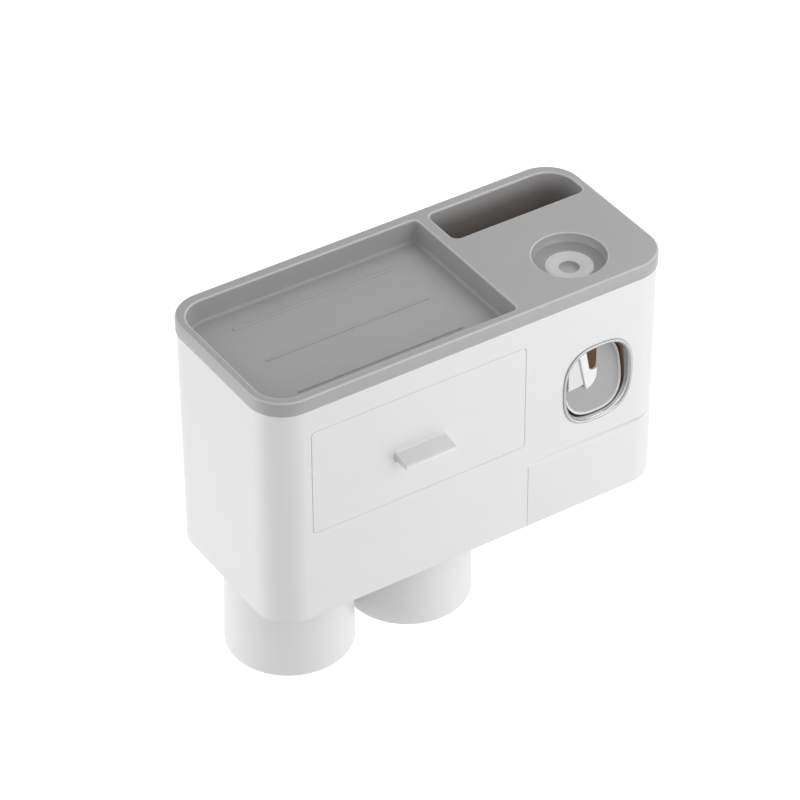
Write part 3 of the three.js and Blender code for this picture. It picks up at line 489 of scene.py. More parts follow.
# Way round the housing's outer wall: the run goes along the front from its middle, round the front corner,
# along the side, round the rear corner and on to the rear edge. The outward direction turns with it, and a
# depth counts inwards from the wall's face.
shell = {
    "corner": 18.4, "thick": 2.2, "rearEdge": 94.0, "edge": 0.3, "back": 0.1, "round": 0.6, "arcSteps": 30,
    "restWide": 10.0, "restReach": 2.0, "restTop": 87.05, "restThick": 1.6, "sunk": 1.0,
    "restLeft": (-75.0, -30.0), "restRight": (-50.0, -28.0), "restFront": (-75.0, 0.0),
    "lugs": (52.6, 88.4), "lugWide": 3.0, "lugRear": -87.0, "lugHigh": 3.2,
}
flap = {
    "left": 31.6, "side": -58.0, "seam": 0.15, "lipDown": 93.9, "lipTip": 0.18, "lipNear": 1.0,
    "skin": 2.0, "least": 0.5, "edge": 0.25, "tuck": 0.3, "sideTop": 0.1,
    "barrel": 4.0, "barrelLeft": 36.0, "barrelRight": 94.6, "barrelEdge": 0.2, "bore": 1.05,
    "rollTurn": 66, "rollPast": 2.5, "behind": 1.6, "tongue": 0.5, "tongueHigh": 0.8, "tongueGrow": 5.0,
}
straightHalf = bodyHigh[0] - shell["corner"]
arcLength = shell["corner"] * np.pi / 2
sideRun = bodyHigh[1] - bodyLow[1] - 2 * shell["corner"]
bendAt = np.cumsum([straightHalf, arcLength, sideRun, arcLength])
wallEnd = bendAt[3] + straightHalf - shell["rearEdge"]
rodY, rodZ = middleOf("cover_hinge_rod")[1:]
lipZ = topZ - flap["lipDown"]


def onWall(flat, depth):
    run, up = flat[..., 0], flat[..., 1]
    far, corner = np.abs(run), shell["corner"]
    first = np.clip((far - bendAt[0]) / arcLength, 0, 1) * np.pi / 2
    second = np.clip((far - bendAt[2]) / arcLength, 0, 1) * np.pi / 2
    x = np.minimum(far, bendAt[0]) + corner * np.sin(first) - corner * (1 - np.cos(second))
    x -= np.maximum(far - bendAt[3], 0)
    y = frontY + corner * (1 - np.cos(first)) + np.clip(far - bendAt[1], 0, sideRun) + corner * np.sin(second)
    facing = first + second
    return together((x - depth * np.sin(facing)) * np.sign(run), y + depth * np.cos(facing), up)


# Where along the wall the side at depth y is.
def sideAt(y):
    return bendAt[1] + y - (frontY + shell["corner"])


arcRun = arcLength * np.linspace(0, 1, shell["arcSteps"] + 1)
bends = chain(bendAt[0] + arcRun, bendAt[2] + arcRun)
bends = np.sort(chain(-bends, bends))

# The dispenser window's outline is a square oval: |x / a| to the power n plus |z / b| to the power n is one.
eye = {"power": 2.7, "steps": 320}
ringLow, ringHigh = boxOf("bezel_ring")
eyeMiddle = eyeX, eyeZ = middleOf("bezel_ring")[[0, 2]]
eyeHalf = (ringHigh[[0, 2]] - ringLow[[0, 2]]) / 2


def eyePoints(angle, inset):
    way = together(np.cos(angle), np.sin(angle))
    bulge = np.sign(way) * np.abs(way) ** (2 / eye["power"])
    return eyeMiddle + (eyeHalf - inset) * bulge


def eyeOutline(inset):
    return eyePoints(np.arange(eye["steps"]) * 2 * np.pi / eye["steps"], inset)


# Height of the oval's upper half over x.
def eyeTop(x, inset):
    share = np.abs(x - eyeX) / (eyeHalf[0] - inset)
    return eyeZ + (eyeHalf[1] - inset) * (1 - share ** eye["power"]) ** (1 / eye["power"])


drawer = {
    "left": 21.9, "right": 29.0, "top": 21.8, "bottom": 82.5, "corner": 2.5, "thick": 2.5, "gap": 0.15,
    "edge": 0.3,
    "box": {
        "in": 5.5, "back": -13.0, "top": 29.0, "bottom": 81.4, "skin": 1.8, "lap": 0.5, "corner": 5.0,
        "frontCorner": 1.0, "hollow": 0.5, "rim": 0.3, "under": 0.8,
    },
    "pull": {
        "wide": 29.0, "root": 53.4, "reach": 10.0, "drop": 1.9, "tip": 2.4, "blunt": 0.47, "edge": 0.5,
        "sunk": 1.8, "rootRound": 0.8, "over": 1.2, "under": 2.6, "hollowSunk": 0.5, "hollowLow": 0.6,
        "hollowHigh": 0.4, "hollowEdge": 0.2, "hollowShrink": 0.1,
        "trim": 2.5, "trimRise": 0.1, "trimRound": 0.3, "trimEdge": 0.05,
    },
}
drawerLeft, drawerRight = bodyLow[0] + drawer["left"], drawer["right"]


def drawerOutline(inset):
    low, high = topZ - drawer["bottom"], topZ - drawer["top"]
    return outline(rectangle(drawerLeft, low, drawerRight, high, drawer["corner"]), inset, 8)


# The wall's lower edge over the flap thins to a lip, so that the flap's rolled top turns behind it.
def onShell(flat, depth):
    run, up = flat.T
    onLip = (np.abs(up - lipZ) < flap["lipNear"]) & (run > flap["left"] + flap["lipNear"]) & (run < bendAt[2])
    return onWall(flat, np.where(onLip, min(depth, flap["lipTip"]), depth))


def buildShell():
    mould = Moulding()
    top, left, side = topZ - topTray["rim"], flap["left"] - flap["seam"], sideAt(flap["side"] + flap["seam"])
    corners = together(
        [-wallEnd, left, left, side, side, wallEnd, wallEnd, -wallEnd],
        [footZ, footZ, lipZ, lipZ, footZ, footZ, top, top], shell["round"],
    )
    holes = [drawerOutline, lambda inset: eyeOutline(inset + ring["band"] - ring["sleeve"] - ring["gap"])]
    profile = slab(*pick(shell, "edge back thick"))
    mould.solid(lambda inset: outline(corners, inset, 6, bends), profile, onShell, holes, bends)

    # Blocks inside: rests under the deck, and the lugs that hold the plate's pin.
    half, high, tall = shell["restWide"] / 2, topZ - shell["restTop"], shell["lugHigh"]
    low, reach = high - shell["restThick"], shell["thick"] + shell["restReach"]
    x0, x1, y0 = bodyLow[0] + shell["sunk"], bodyHigh[0] - shell["sunk"], frontY + shell["sunk"]
    for y in shell["restLeft"]:
        mould.block((x0, y - half, low), (bodyLow[0] + reach, y + half, high))
    for y in shell["restRight"]:
        mould.block((bodyHigh[0] - reach, y - half, low), (x1, y + half, high))
    for x in shell["restFront"]:
        mould.block((x - half, y0, low), (x + half, frontY + reach, high))
    for x in shell["lugs"]:
        mould.block((x, y0, pinZ - tall), (x + shell["lugWide"], shell["lugRear"], pinZ + tall))
    mould.build("bodyShell", "holder", "white_plastic", ["whitePlastic"], "body_shell")


# Flap over the brushes: a closed section of depth and height is carried along the wall from the front to
# the side. Its top edge rolls back round the hinge rod: y is at least the rod's y less the root of the
# barrel's radius squared less the height over the rod squared.
def buildFlap():
    mould = Moulding()
    barrel, edge = pick(flap, "barrel edge")
    start, end = flap["left"], sideAt(flap["side"])
    turn = quarter(5)
    along, sink = edge * (1 - np.cos(turn)), edge * (1 - np.sin(turn))
    inner = bends[(bends > start + edge) & (bends < end - edge)]
    runs = chain(start + along, inner, end - along[::-1])[:, None]
    sunk = chain(sink, np.zeros(len(inner)), sink[::-1])[:, None]
    sideTop = lipZ - flap["sideTop"]
    roll = rodZ + barrel * np.sin(np.linspace(0, math.radians(flap["rollTurn"]), 14))
    roll = np.sort(chain(roll, [sideTop, sideTop + 2 * near]))
    rise = chain([footZ, footZ + edge / 2, footZ + edge, footZ + edge + hold], roll)
    tuck = chain([edge, edge * flap["tuck"], 0, 0], np.zeros(len(roll)))
    grid = together(runs, rise)

    # Round the corner the top rows go behind the shell's lip.
    tongue = rise > sideTop + near
    lapped = flap["tongue"] * np.clip((runs - bendAt[0]) / flap["tongueGrow"], 0, 1)
    front, back = onWall(grid, tuck + sunk), onWall(grid, flap["skin"])
    front[:, tongue] = onWall(grid, np.maximum(lapped, sunk))[:, tongue]
    over = np.clip(rise - rodZ, 0, barrel)
    limit = rodY - np.sqrt(barrel ** 2 - over ** 2)
    rolled = front[..., 1] < limit
    front[..., 1] = np.maximum(front[..., 1], limit)

    # Along the rod the roll's back goes round it too, and past it the skin keeps a least thickness.
    byRod = runs < bendAt[0] + flap["rollPast"]
    upper, core, share = byRod & (over > 0), barrel - flap["behind"], over / barrel
    least = np.where(rolled & ~byRod, front[..., 1] + flap["least"], back[..., 1])
    around = rodY - core * np.sqrt(1 - share ** 2)
    back[..., 1] = np.where(upper, around, np.maximum(back[..., 1], least))
    back[..., 2] = np.where(upper, rodZ + core * share, back[..., 2])

    # Beyond the roll only a tongue stands behind the lip.
    tongueZ = sideTop + (rise - sideTop) * flap["tongueHigh"] / (rise[-1] - sideTop)
    beyond = tongue & (front[:, -1:, 1] > rodY + near)
    for face in (front, back):
        face[..., 2] = np.where(beyond, tongueZ, face[..., 2])
    sections = np.hstack([front, back[:, ::-1]])
    rows = [mould.take(section) for section in sections]
    mould.join(rows)
    mould.fill([(rows[0], sections[0][:, 1:])], -1)
    mould.fill([(rows[-1], sections[-1][:, [0, 2]])], -1)
    mould.bar(
        lambda inset: circle(rodY, rodZ, barrel - 2 * near - inset, 48),
        *pick(flap, "barrelLeft barrelRight barrelEdge"),
        [lambda inset: circle(rodY, rodZ, flap["bore"] - inset, 24)],
    )
    mould.build("brushFlap", "cover", "white_plastic", ["whitePlastic"], "brush_cover")


# The ring's section: a foot on the housing, a round outer shoulder, a flat band and a rounded inner edge.
ring = {
    "band": 2.5, "sleeve": 1.3, "gap": 0.35, "proud": 0.7, "outer": 0.5, "inner": 1.4, "innerDeep": 3.2,
    "back": 3.6, "seat": 0.1,
}
liner = {"out": 0.9, "lap": 0.5, "back": 5.6, "sideX": 79.2, "sideBack": 11.4, "sideFoot": 70.0}


def buildRing():
    mould = Moulding()
    proud, band, inner, seat, back = -ring["proud"], ring["band"], ring["inner"], -ring["seat"], ring["back"]
    face = roundOver(ring["outer"], proud, 8)[::-1]
    turn = quarter(12)
    bore = together(band - inner * (1 - np.sin(turn)), proud + ring["innerDeep"] * (1 - np.cos(turn)))
    sleeve = band - ring["sleeve"]
    rest = [[band, back], [sleeve, back], [sleeve, seat], [0, seat]]
    profile = chain(face, [[band - inner - hold, proud]], bore, rest)
    tones = np.zeros(len(profile), int)
    # Painted reflection: the bore takes a bright metal that goes to grey higher up.
    tones[len(face) + 6:len(face) + 14] = 1  # the bore is brighter than the band
    tones = chain(tones[:-1][::-1], tones[-1:])
    mould.carry(eyeOutline, profile[::-1], onFront, closed=True, tones=tones)
    mould.build("bezelRing", "holder", "chrome", ["chrome", "brightTrim"], "bezel_ring")


# Brown frame behind the ring: its section goes round the window, and its back reaches deeper on the right.
def buildLiner():
    mould = Moulding()
    band, gap, out, lap, back = ring["band"], ring["gap"], -liner["out"], liner["lap"], liner["back"]
    hole, wallBack, ringBack = band - ring["sleeve"] - gap, shell["thick"] + gap, ring["back"] + gap
    section = [
        (out, ringBack + lap), (out, wallBack), (hole, wallBack), (hole, ringBack),
        (band, ringBack), (band, back), (hole - lap, back), (hole - lap, ringBack + lap),
    ]

    def onLiner(flat, depth):
        deep = (flat[:, 0] > liner["sideX"]) & (flat[:, 1] > topZ - liner["sideFoot"]) & (depth == back)
        return onFront(flat, np.where(deep, liner["sideBack"], depth))

    mould.carry(eyeOutline, section[::-1], onLiner, closed=True)
    # The liner takes a lighter brown than the outlet's, painted light in the shaded recess.
    mould.build("windowLiner", "holder", "brown_plastic", ["linerBrown"], "window_liner")


# Push plate: the window's oval drawn in, open at the top for the nozzle's duct, with a raised lip round a
# shallow dish. It leans: y grows with the height over the window's middle.
plate = {
    "in": 3.5, "middle": -94.6, "lean": 0.165, "skin": 2.0, "bevel": 0.06, "dish": 0.6,
    "notch": (59.8, 71.0), "notchFoot": 57.0, "notchRound": 4.0,
    "lip": 0.85, "lipRight": 73.7, "lipLeft": 65.3, "lipGrow": 0.1, "lipSunk": 0.28, "round": 0.35,
    "slope": 0.6, "slopePower": 1.5,
    "arms": (57.0, 76.0), "armWide": 2.4, "armTop": 45.0, "armFoot": 60.0, "armEdge": 0.25, "armSunk": 1.0,
    "armRounds": (0.5, 0.5, 2.0, 0.6, 0.6, 2.0, 1.5, 0.5),
    "boss": 3.0, "bore": 1.12, "barTop": 34.2, "barSkin": 2.2, "barFront": -80.0, "barShort": 0.5,
}
pinY, pinZ = middleOf("plate_pin")[1:]
plateHalf = eyeHalf - plate["in"]


def plateFront(z):
    return plate["middle"] + plate["lean"] * (z - eyeZ)


def plateEdge():
    left, right = plate["notch"]
    share = (np.array([left, right]) - eyeX) / plateHalf[0]
    first, last = np.arccos(np.sign(share) * np.abs(share) ** (eye["power"] / 2))
    oval = eyePoints(np.linspace(first, last + 2 * np.pi, 150), plate["in"])
    radius = plate["notchRound"]
    height = topZ - plate["notchFoot"] + radius
    rightFoot = arc(right - radius, height, radius, 0, -90, 8)
    leftFoot = arc(left + radius, height, radius, -90, -180, 8)
    return chain(oval, rightFoot, leftFoot)


def onPlate(flat, depth):
    return together(flat[..., 0], plateFront(flat[..., 1]) + depth, flat[..., 1])


def buildPlate():
    mould = Moulding()
    lip, dish, thick, bevel = pick(plate, "lip dish skin bevel")
    profile = [(bevel, dish), (0, dish + bevel), (0, thick - bevel), (bevel, thick)]
    edge = plateEdge()
    mould.solid(lambda inset: drawnIn(edge, inset), profile, onPlate)

    # Lip: a raised section carried along the oval from the nozzle's left foot round to its right side, its
    # height growing from nothing at both ends.
    headShare = (plate["lipRight"] - eyeX) / plateHalf[0]
    footShare = (eyeZ - topZ + plate["lipLeft"]) / plateHalf[1]
    head = math.acos(headShare ** (eye["power"] / 2))
    foot = math.asin(footShare ** (eye["power"] / 2)) - math.pi
    ways = np.linspace(foot, head, 280)
    rise = np.clip(np.minimum(ways - foot, head - ways) / plate["lipGrow"], 0, 1)[:, None]
    sine, fall, sunk = np.sin(quarter(5)), plate["slope"], dish + plate["lipSunk"]
    slope = together(lip + fall / 2 - fall * sine, dish * (1 - sine) ** plate["slopePower"])
    section = chain([[lip + fall / 2, sunk]], slope, roundOver(plate["round"]), [[0, sunk]])
    path = np.stack([eyePoints(ways, plate["in"] + inset) for inset, depth in section], 1)
    rows = [mould.take(strip) for strip in onPlate(path, sunk - (sunk - section[:, 1]) * rise)]
    # The lip takes the white finish, a painted highlight on its rounded edge.
    mould.tone = 1
    mould.join(rows[::-1])
    mould.fill([(rows[0], section)], 1)
    mould.fill([(rows[-1], section)], -1)
    mould.tone = 0

    # Yoke behind it: two arms that turn on the pin, with corners (y, z, radius), and the bar over the bulb.
    barZ, rear, boss, sink = topZ - plate["barTop"], boxOf("push_plate")[1][1], plate["boss"], plate["armSunk"]
    barLow, armLow, armHigh = barZ - plate["barSkin"], topZ - plate["armFoot"], topZ - plate["armTop"]
    lowY, highY = plateFront(armLow), plateFront(armHigh) + sink
    side = together(
        [lowY + sink, lowY + thick, pinY + boss, rear, rear, pinY, pinY - boss, highY],
        [armLow, armLow, pinZ - boss, barLow, barZ, pinZ + boss, pinZ, armHigh], plate["armRounds"],
    )
    bore = [lambda inset: circle(pinY, pinZ, plate["bore"] - inset, 24)]
    for x in plate["arms"]:
        mould.bar(lambda inset: outline(side, inset, 5), x, x + plate["armWide"], plate["armEdge"], bore)
    left, right = plate["arms"][0] + sink, plate["arms"][1] + plate["armWide"] - sink
    mould.block((left, plate["barFront"], barLow), (right, rear - plate["barShort"], barZ))
    mould.build("pushPlate", "push_plate", "plate_plastic", ["plateGrey", "whitePlastic"], "push_plate")


# Nozzle: two facets that meet at a leaning crease. The left one falls back towards the crease by its step,
# the right one is flat, and both end behind on a plane that leans with the plate.
nozzle = {
    "left": 56.5, "right": 73.1, "front": -97.0, "leftFoot": 62.1, "foot": 64.9, "round": 8.0, "edge": 0.25,
    "creaseTop": (62.7, 44.5), "creaseFoot": (67.1, 63.3), "creaseRise": 26.0, "lap": 0.4,
    "step": 1.2, "reach": 12.0, "clear": 0.4, "deep": 20.0,
    "ductX": 65.2, "ductDown": 48.5, "ductRadius": 2.6, "ductBore": 1.5, "ductSunk": 0.5,
}
outlet = {"x": 70.9, "radius": 2.3, "foot": 53.8, "topLeft": 65.8, "clear": 0.3, "sunk": 0.9, "edge": 0.3}


# Where a line that rises from one point to another, both (x, down), meets the plate's oval.
def underEye(low, high):
    share = np.linspace(0, 1, 2001)[:, None]
    x, down = (np.array(low) + share * (np.array(high) - np.array(low))).T
    within = np.abs(x - eyeX) < plateHalf[0] - near
    inside = within & (topZ - down < eyeTop(np.where(within, x, eyeX), plate["in"]))
    return x[np.flatnonzero(inside)[-1]]


def eyeRun(first, last, steps=12):
    x = np.linspace(first, last, steps + 1)
    return together(x, eyeTop(x, plate["in"]))


def buildNozzle():
    (topX, topDown), (footX, footDown), rise, lap = pick(nozzle, "creaseTop creaseFoot creaseRise lap")
    lean = math.atan2(footX - topX, footDown - topDown)
    slope = (topX - footX) / (footDown - topDown)
    creaseHead = underEye((footX, footDown), (footX + slope * rise, footDown - rise))

    def onRight(flat, depth, front=nozzle["front"]):
        behind = plateFront(flat[:, 1]) + plate["dish"] - nozzle["clear"]
        return together(flat[:, 0], np.minimum(front + depth, behind), flat[:, 1])

    def onLeft(flat, depth):
        away = (flat[:, 0] - footX) * math.cos(lean) + (flat[:, 1] - topZ + footDown) * math.sin(lean)
        fallen = nozzle["step"] * np.clip(1 + away / nozzle["reach"], 0, 1)
        return onRight(flat, depth, nozzle["front"] + fallen)

    def onOutlet(flat, depth):
        return onRight(flat, depth + outlet["sunk"])

    # A facet reaches deeper than its back, where its place cuts it off.
    def facet(mould, edge, rounding, place):
        profile = chain(roundOver(rounding), [[0, nozzle["deep"]]])
        mould.solid(lambda inset: drawnIn(edge, inset), profile, place)

    # The left facet's solid laps under the right one.
    mould = Moulding()
    lowZ, creaseX = topZ - nozzle["leftFoot"], footX + slope * (footDown - nozzle["leftFoot"])
    leftEdge = chain([(nozzle["left"], lowZ), (creaseX + lap, lowZ)], eyeRun(creaseHead + lap, nozzle["left"]))
    # Painted shade: the left facet takes the darker white; the right one takes the brighter white as painted
    # light.
    mould.tone = 1
    facet(mould, leftEdge, nozzle["edge"], onLeft)
    mould.tone = 0

    radius, right = pick(nozzle, "round right")
    outletX, outletRadius, clear = pick(outlet, "x radius clear")
    outletDown, eyeDown = outlet["foot"] - outletRadius, topZ - eyeZ - eyeHalf[1]
    notch, outletZ = outletRadius + clear, topZ - outletDown
    tip = -math.degrees(math.acos((footX - right + radius) / radius))
    meet = -math.degrees(math.acos((right - outletX) / notch))
    notchHead = underEye((outletX - notch, outletDown), (outlet["topLeft"] - clear, eyeDown))
    rightEdge = chain(
        arc(right - radius, topZ - nozzle["foot"] + radius, radius, tip, 0, 12),
        arc(outletX, outletZ, notch, meet, -180, 12), eyeRun(notchHead, creaseHead, 6),
    )
    facet(mould, rightEdge, nozzle["edge"], onRight)

    # The stub behind that the duct meets.
    ductX, ductZ, ductRadius = nozzle["ductX"], topZ - nozzle["ductDown"], nozzle["ductRadius"]
    start = plateFront(ductZ) - nozzle["ductSunk"] - frontY
    wall, end = ductRadius - nozzle["ductBore"], boxOf("nozzle_block")[1][1] - frontY
    section = [(0, start), (0, end), (wall, end), (wall, start)]
    mould.carry(lambda inset: circle(ductX, ductZ, ductRadius - inset, 32), section, onFront, closed=True)
    mould.build("nozzleBlock", "holder", "white_plastic", ["nozzleWhite", "nozzleShade"], "nozzle_block")

    # The brown outlet fills the notch, sunk a little below the right facet.
    plug = Moulding()
    plugHead = underEye((outletX - outletRadius, outletDown), (outlet["topLeft"], eyeDown))
    plugFoot = arc(outletX, outletZ, outletRadius, 180, 360, 16)
    facet(plug, chain(plugFoot, eyeRun(outletX + outletRadius, plugHead, 6)), outlet["edge"], onOutlet)
    plug.build("outletValve", "holder", "brown_plastic", ["brownPlastic"], "outlet_valve")


buildShell()
buildFlap()
print("housing and flap built")
buildRing()
buildLiner()
buildPlate()
buildNozzle()
print("dispenser window built")


# Drawer: a flat front, an open tub behind it and the pull, whose side view is carried across.
def buildDrawer():
    mould = Moulding()
    box, pull, thick, gap, bevel = pick(drawer, "box pull thick gap edge")
    mould.solid(lambda inset: drawerOutline(inset + gap), slab(bevel, bevel, thick), onFront)
    wall, top, foot, rim, hollow = pick(box, "skin top bottom rim hollow")
    snug, wide, floor, turn = wall + box["frontCorner"], box["corner"], foot - wall, quarter(4)
    plan = rectangle(
        drawerLeft + box["in"], frontY + thick - box["lap"], drawerRight - box["in"], box["back"],
        snug, snug, wide, wide,
    )
    inside = together(wall + hollow * (1 - np.sin(turn)), floor - hollow * (1 - np.cos(turn)))
    brim = [[wall, top + rim], [wall - rim, top], [rim, top], [0, top + rim]]
    profile = chain([[wall + hollow + hold, floor]], inside, brim, roundUnder(box["under"], foot))
    mould.solid(lambda inset: outline(plan, inset, 8), profile, onTop)

    # Pull: a bar whose top falls to a rounded tip. The tip's bright strip, a painted highlight, lies a hair
    # proud of the bar.
    rootZ, tipY, sunk = topZ - pull["root"], frontY - pull["reach"], pull["sunk"]
    tipZ, lowZ = rootZ - pull["drop"], rootZ - pull["drop"] - pull["tip"]
    sunkY, sunkZ, barY = frontY + sunk, rootZ + pull["drop"] / pull["reach"] * sunk, tipY + 3 * near
    blunt, root = pull["tip"] * pull["blunt"], pull["rootRound"]
    side = [(sunkY, sunkZ, root), (barY, tipZ, blunt), (barY, lowZ, blunt), (sunkY, lowZ, root)]
    middle, half, edge = (drawerRight + drawerLeft) / 2, pull["wide"] / 2, pull["edge"]
    mould.bar(lambda inset: outline(side, inset, 8), middle - half, middle + half, edge)
    tipGlintY, stripLow, bend = tipY + pull["trim"], lowZ - 2 * near, pull["trimRound"]
    strip = [
        (tipGlintY, tipZ + pull["trimRise"], bend), (tipY + near, tipZ + 2 * near, blunt),
        (tipY + near, stripLow, blunt), (tipGlintY, stripLow, bend),
    ]
    left, right = middle - (half - edge), middle + (half - edge)
    # Painted highlight: the strip takes the brighter white.
    mould.tone = 1
    mould.bar(lambda inset: outline(strip, inset, 8), left, right, pull["trimEdge"])
    mould.tone = 0

    # A small hollow round above the pull's root and a wide one under it, each a quarter arc between the
    # front's face and the bar.
    over, under, behind = pull["over"], pull["under"], frontY + pull["hollowSunk"]
    aboveLow, belowHigh = rootZ - pull["hollowLow"], lowZ + pull["hollowHigh"]
    above = chain(
        [[behind, aboveLow], [behind, rootZ + over]], arc(frontY - over, rootZ + over, over, 0, -90),
        [[frontY - over, aboveLow]],
    )
    below = chain(
        [[behind, lowZ - under], [behind, belowHigh], [frontY - under, belowHigh]],
        arc(frontY - under, lowZ - under, under, 90, 0),
    )
    for bow in (above, below):
        mould.bar(lambda inset: drawnIn(bow, inset * pull["hollowShrink"]), left, right, pull["hollowEdge"])
    mould.build("slidingDrawer", "drawer", "white_plastic", ["whitePlastic", "nozzleWhite"], "drawer")


buildDrawer()
print("drawer built")


# Cups: turned with a rounded shoulder, straight leaning wall, rounded lip and a pocket for the steel disc.
cup = {
    "skin": 2.0, "floor": 4.4, "base": 30.4, "shoulder": 4.0, "lip": 0.95, "inner": 3.0,
    "disc": 9.3, "discDeep": 1.7, "discEdge": 0.2,
}


def buildCup(number):
    mould = Moulding()
    low, high = boxOf(f"cup_{number}")
    x, y = (low[:2] + high[:2]) / 2
    mouth, top, foot = (high[0] - low[0]) / 2, high[2], low[2]
    turn, roll = quarter(12), np.linspace(0, np.pi, 13)
    base, bend, lip, inner, disc, edge = pick(cup, "base shoulder lip inner disc discEdge")
    inside, floor = base - cup["skin"], top - cup["floor"]
    profile = chain(
        [(disc, top - cup["discDeep"]), (disc, top - edge), (disc + edge, top), (base - bend - hold, top)],
        together(base - bend * (1 - np.sin(turn)), top - bend * (1 - np.cos(turn))),
        together(mouth - lip * (1 - np.cos(roll)), foot + lip * (1 - np.sin(roll))),
        together(inside - inner * (1 - np.cos(turn)), floor - inner * (1 - np.sin(turn))),
        [(inside - inner - hold, floor)],
    )
    pocketRing, floorRing = mould.turned(profile, x, y, 128)
    mould.fill([pocketRing])
    mould.fill([floorRing], -1)
    mould.build(f"cup{number}", f"cup_{number}", "white_plastic", ["whitePlastic"], f"cup_{number}")


for number in (1, 2):
    buildCup(number)
print("cups built")


# The tube's silicone ring: a low dome outside that falls to a round bowl with a small way through.
grommet = {
    "rim": 12.38, "shoulder": 1.3, "crown": 0.9, "dish": 0.9, "dishPower": 2.2, "mouth": 6.0, "brink": 0.8,
    "bowl": 4.9, "bowlDeep": 3.6, "bowlRound": 1.2, "way": 0.3, "wayEdge": 0.2, "sleeve": 7.0, "under": 4.2,
    "edge": 0.3,
}


def buildGrommet():
    mould = Moulding()
    low, high = boxOf("tube_grommet")
    top, foot = high[2], low[2]
    turn, sink, share = quarter(8)[::-1], quarter(7), np.linspace(0, 1, 9)[1:]
    radius, shoulder, mouth, wall, bend = pick(grommet, "rim shoulder mouth bowl bowlRound")
    sleeve, edge, way, wayEdge = pick(grommet, "sleeve edge way wayEdge")
    under, deep, brim = (top - down for down in pick(grommet, "under bowlDeep dish"))
    crown = radius - shoulder
    outer = together(radius - shoulder * (1 - np.cos(turn)), top - grommet["crown"] * (1 - np.sin(turn)))
    dish = together(crown + (mouth - crown) * share, top - grommet["dish"] * share ** grommet["dishPower"])
    brink = together(mouth - (mouth - wall) * np.sin(sink), brim - grommet["brink"] * (1 - np.cos(sink)))
    floor = together(wall - bend * (1 - np.cos(sink)), deep + bend * (1 - np.sin(sink)))
    bowl = chain(brink[1:], floor, [(way, deep)])
    below = [
        (radius, under + edge), (radius - edge, under), (sleeve, under), (sleeve, foot + edge),
        (sleeve - edge, foot), (way + wayEdge, foot), (way, foot + wayEdge),
    ]
    profile = chain(bowl[::-1], dish[::-1], outer, below)
    tones = np.zeros(len(profile), int)
    # Painted shade: the bowl takes the darker silicone below its brink.
    tones[:len(bowl) - 4] = 1  # the bowl is darker below its brink
    mould.turned(profile, socketX, socketY, closed=True, tones=tones)
    mould.build("tubeGrommet", "holder", "silicone", ["silicone", "siliconeShade"], "tube_grommet")


# The pump's bulb: a hollow dome, its height the cosine of the turn and its radius the sine, under a flat
# flange. The push plate's bar squeezes it.
bulb = {"radius": 8.6, "skin": 1.0, "edge": 1.2, "edgeGap": 0.1, "pole": 0.06, "pressed": 0.45}


def buildBulb():
    mould = Moulding()
    low, high = boxOf("pump_bulb")
    x, y = (low[:2] + high[:2]) / 2
    flange, top, reach = (high[0] - low[0]) / 2, high[2], high[2] - low[2]
    radius, thick, shoulder, turn = bulb["radius"], bulb["skin"], top - bulb["edge"], quarter(15, bulb["pole"])
    inside = together((radius - thick) * np.sin(turn), top - (reach - thick) * np.cos(turn))
    outer = together(radius * np.sin(turn), top - reach * np.cos(turn))
    outer = outer[outer[:, 1] < shoulder - bulb["edgeGap"]][::-1]
    profile = chain(inside, [(flange, top), (flange, shoulder), (radius, shoulder)], outer)
    floorEdge, poleEdge = mould.turned(profile, x, y, 64)
    mould.fill([floorEdge])
    mould.fill([poleEdge], -1)
    piece = mould.build("pumpBulb", "holder", "silicone", ["silicone"], "pump_bulb")
    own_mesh(piece)


buildGrommet()
buildBulb()
print("grommet and bulb built")

# CAD pieces that show as they are get their finish here.
plain = {
    "whitePlastic": "back_panel inner_frame brush_rack", "clearPlastic": "pump_housing wall_plate",
    "steel": "plate_pin cover_hinge_rod cup_disc_1 cup_disc_2", "magnet": "seat_magnet_1 seat_magnet_2",
    "silicone": "inlet_valve", "foam": "adhesive_pad",
}
for name, nodes in plain.items():
    for node in pick(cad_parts, nodes):
        node.data.materials.clear()
        node.data.materials.append(skin[name])
print("plain pieces have their finishes:", len(plain))


# Studio: soft lamps beside and over the object, an even room, and a floor well below that holds the shadow.
# A lamp's values are its azimuth and elevation in degrees and its power.
studio = {
    "lamps": {
        "left": (-110, -12, 3.3), "leftOver": (-110, 30, 1.6), "right": (40, -12, 2.85),
        "frontOver": (20, 30, 3.2), "rightOver": (110, 50, 2.4),
    },
    "lampAway": 1.0, "lampSize": 0.7, "room": 0.4,
    "floor": -0.55, "floorHalf": 6.0, "floorGrey": 0.85, "floorRough": 0.9, "floorGlow": 0.64,
}
camera = {
    "azimuth": -32.940, "elevation": 37.638, "roll": -0.286, "away": 1796.534, "lens": 165.095,
    "aim": (-11.343, -50.119, -1.128), "sensor": 36.0, "clip": (0.05, 50),
}


def lookFrom(azimuth, elevation, away, aim, roll=0.0):
    turn, lift, tilt = (math.radians(angle) for angle in (azimuth, 90 - elevation, roll))
    spin = Matrix.Rotation(turn, 4, "Z") @ Matrix.Rotation(lift, 4, "X") @ Matrix.Rotation(tilt, 4, "Z")
    return Matrix.Translation(aim) @ spin @ Matrix.Translation((0, 0, away))


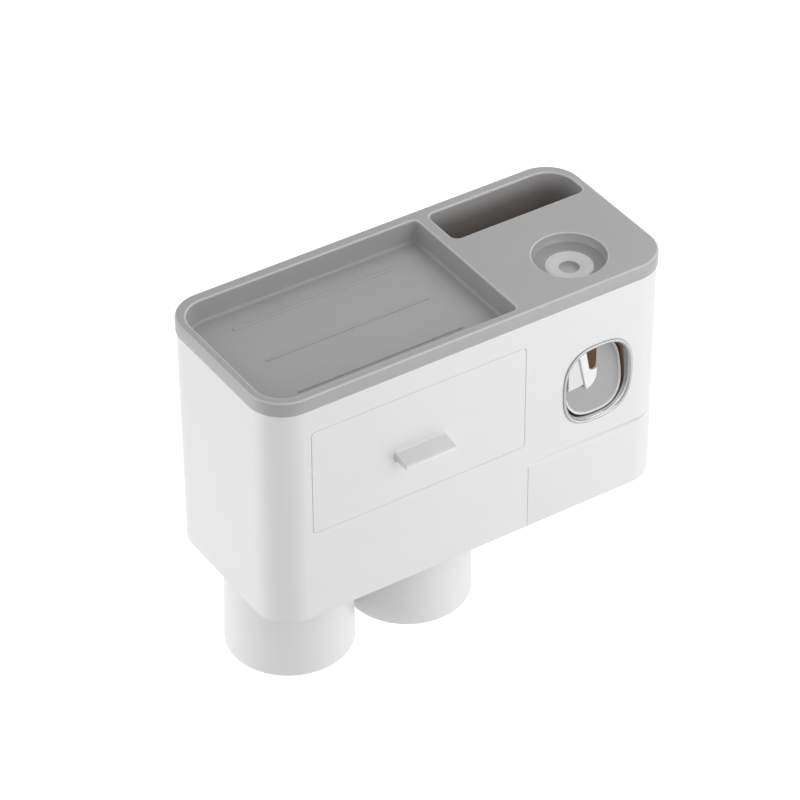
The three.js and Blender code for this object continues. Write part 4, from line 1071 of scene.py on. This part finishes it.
# One for rays that the camera sees, also by way of a mirror or glass, and nothing for the rest.
def isSeenRay(tree):
    path = tree.nodes.new("ShaderNodeLightPath").outputs
    seen = path["Is Camera Ray"]
    for kind in ("Is Glossy Ray", "Is Transmission Ray"):
        either = tree.nodes.new("ShaderNodeMath")
        either.operation = "MAXIMUM"
        tree.links.new(seen, either.inputs[0])
        tree.links.new(path[kind], either.inputs[1])
        seen = either.outputs[0]
    return seen


def buildStudio():
    lens = bpy.data.cameras.new("camera")
    lens.lens, lens.sensor_width = camera["lens"], camera["sensor"]
    lens.clip_start, lens.clip_end = camera["clip"]
    aim = Vector(camera["aim"]) * mm
    view = lookFrom(camera["azimuth"], camera["elevation"], camera["away"] * mm, aim, camera["roll"])
    scene.camera = placed(lens, "camera", view)
    for name, (azimuth, elevation, power) in studio["lamps"].items():
        lamp = bpy.data.lights.new(name + "Lamp", "AREA")
        lamp.shape, lamp.size, lamp.energy = "SQUARE", studio["lampSize"], power
        placed(lamp, name + "Lamp", lookFrom(azimuth, elevation, studio["lampAway"], aim))

    world = bpy.data.worlds.new("room")
    scene.world = world
    world.use_nodes = True
    tree = world.node_tree
    level = setNode(tree, "ShaderNodeMapRange", {"To Min": studio["room"]}, {"Value": isSeenRay(tree)})
    setNode(tree, "Background", {"Color": (1, 1, 1, 1)}, {"Strength": level.outputs["Result"]})

    half, height, grey = pick(studio, "floorHalf floor floorGrey")
    mesh = bpy.data.meshes.new("floor")
    mesh.from_pydata(rectangle(-half, -half, half, half, height).tolist(), [], [(0, 1, 2, 3)])
    floor = placed(mesh, "floor")
    pale = bpy.data.materials.new("paleFloor")
    pale.use_nodes = True
    tree = pale.node_tree
    glow = setNode(tree, "ShaderNodeMapRange", {"To Max": studio["floorGlow"]}, {"Value": isSeenRay(tree)})
    setNode(tree, "Principled BSDF", {
        "Base Color": (grey, grey, grey, 1), "Roughness": studio["floorRough"], "Emission Color": (1, 1, 1, 1),
    }, {"Emission Strength": glow.outputs["Result"]})
    mesh.materials.append(pale)
    scene.view_settings.view_transform = "Standard"


buildStudio()
print("studio built")

bpy.context.view_layer.update()
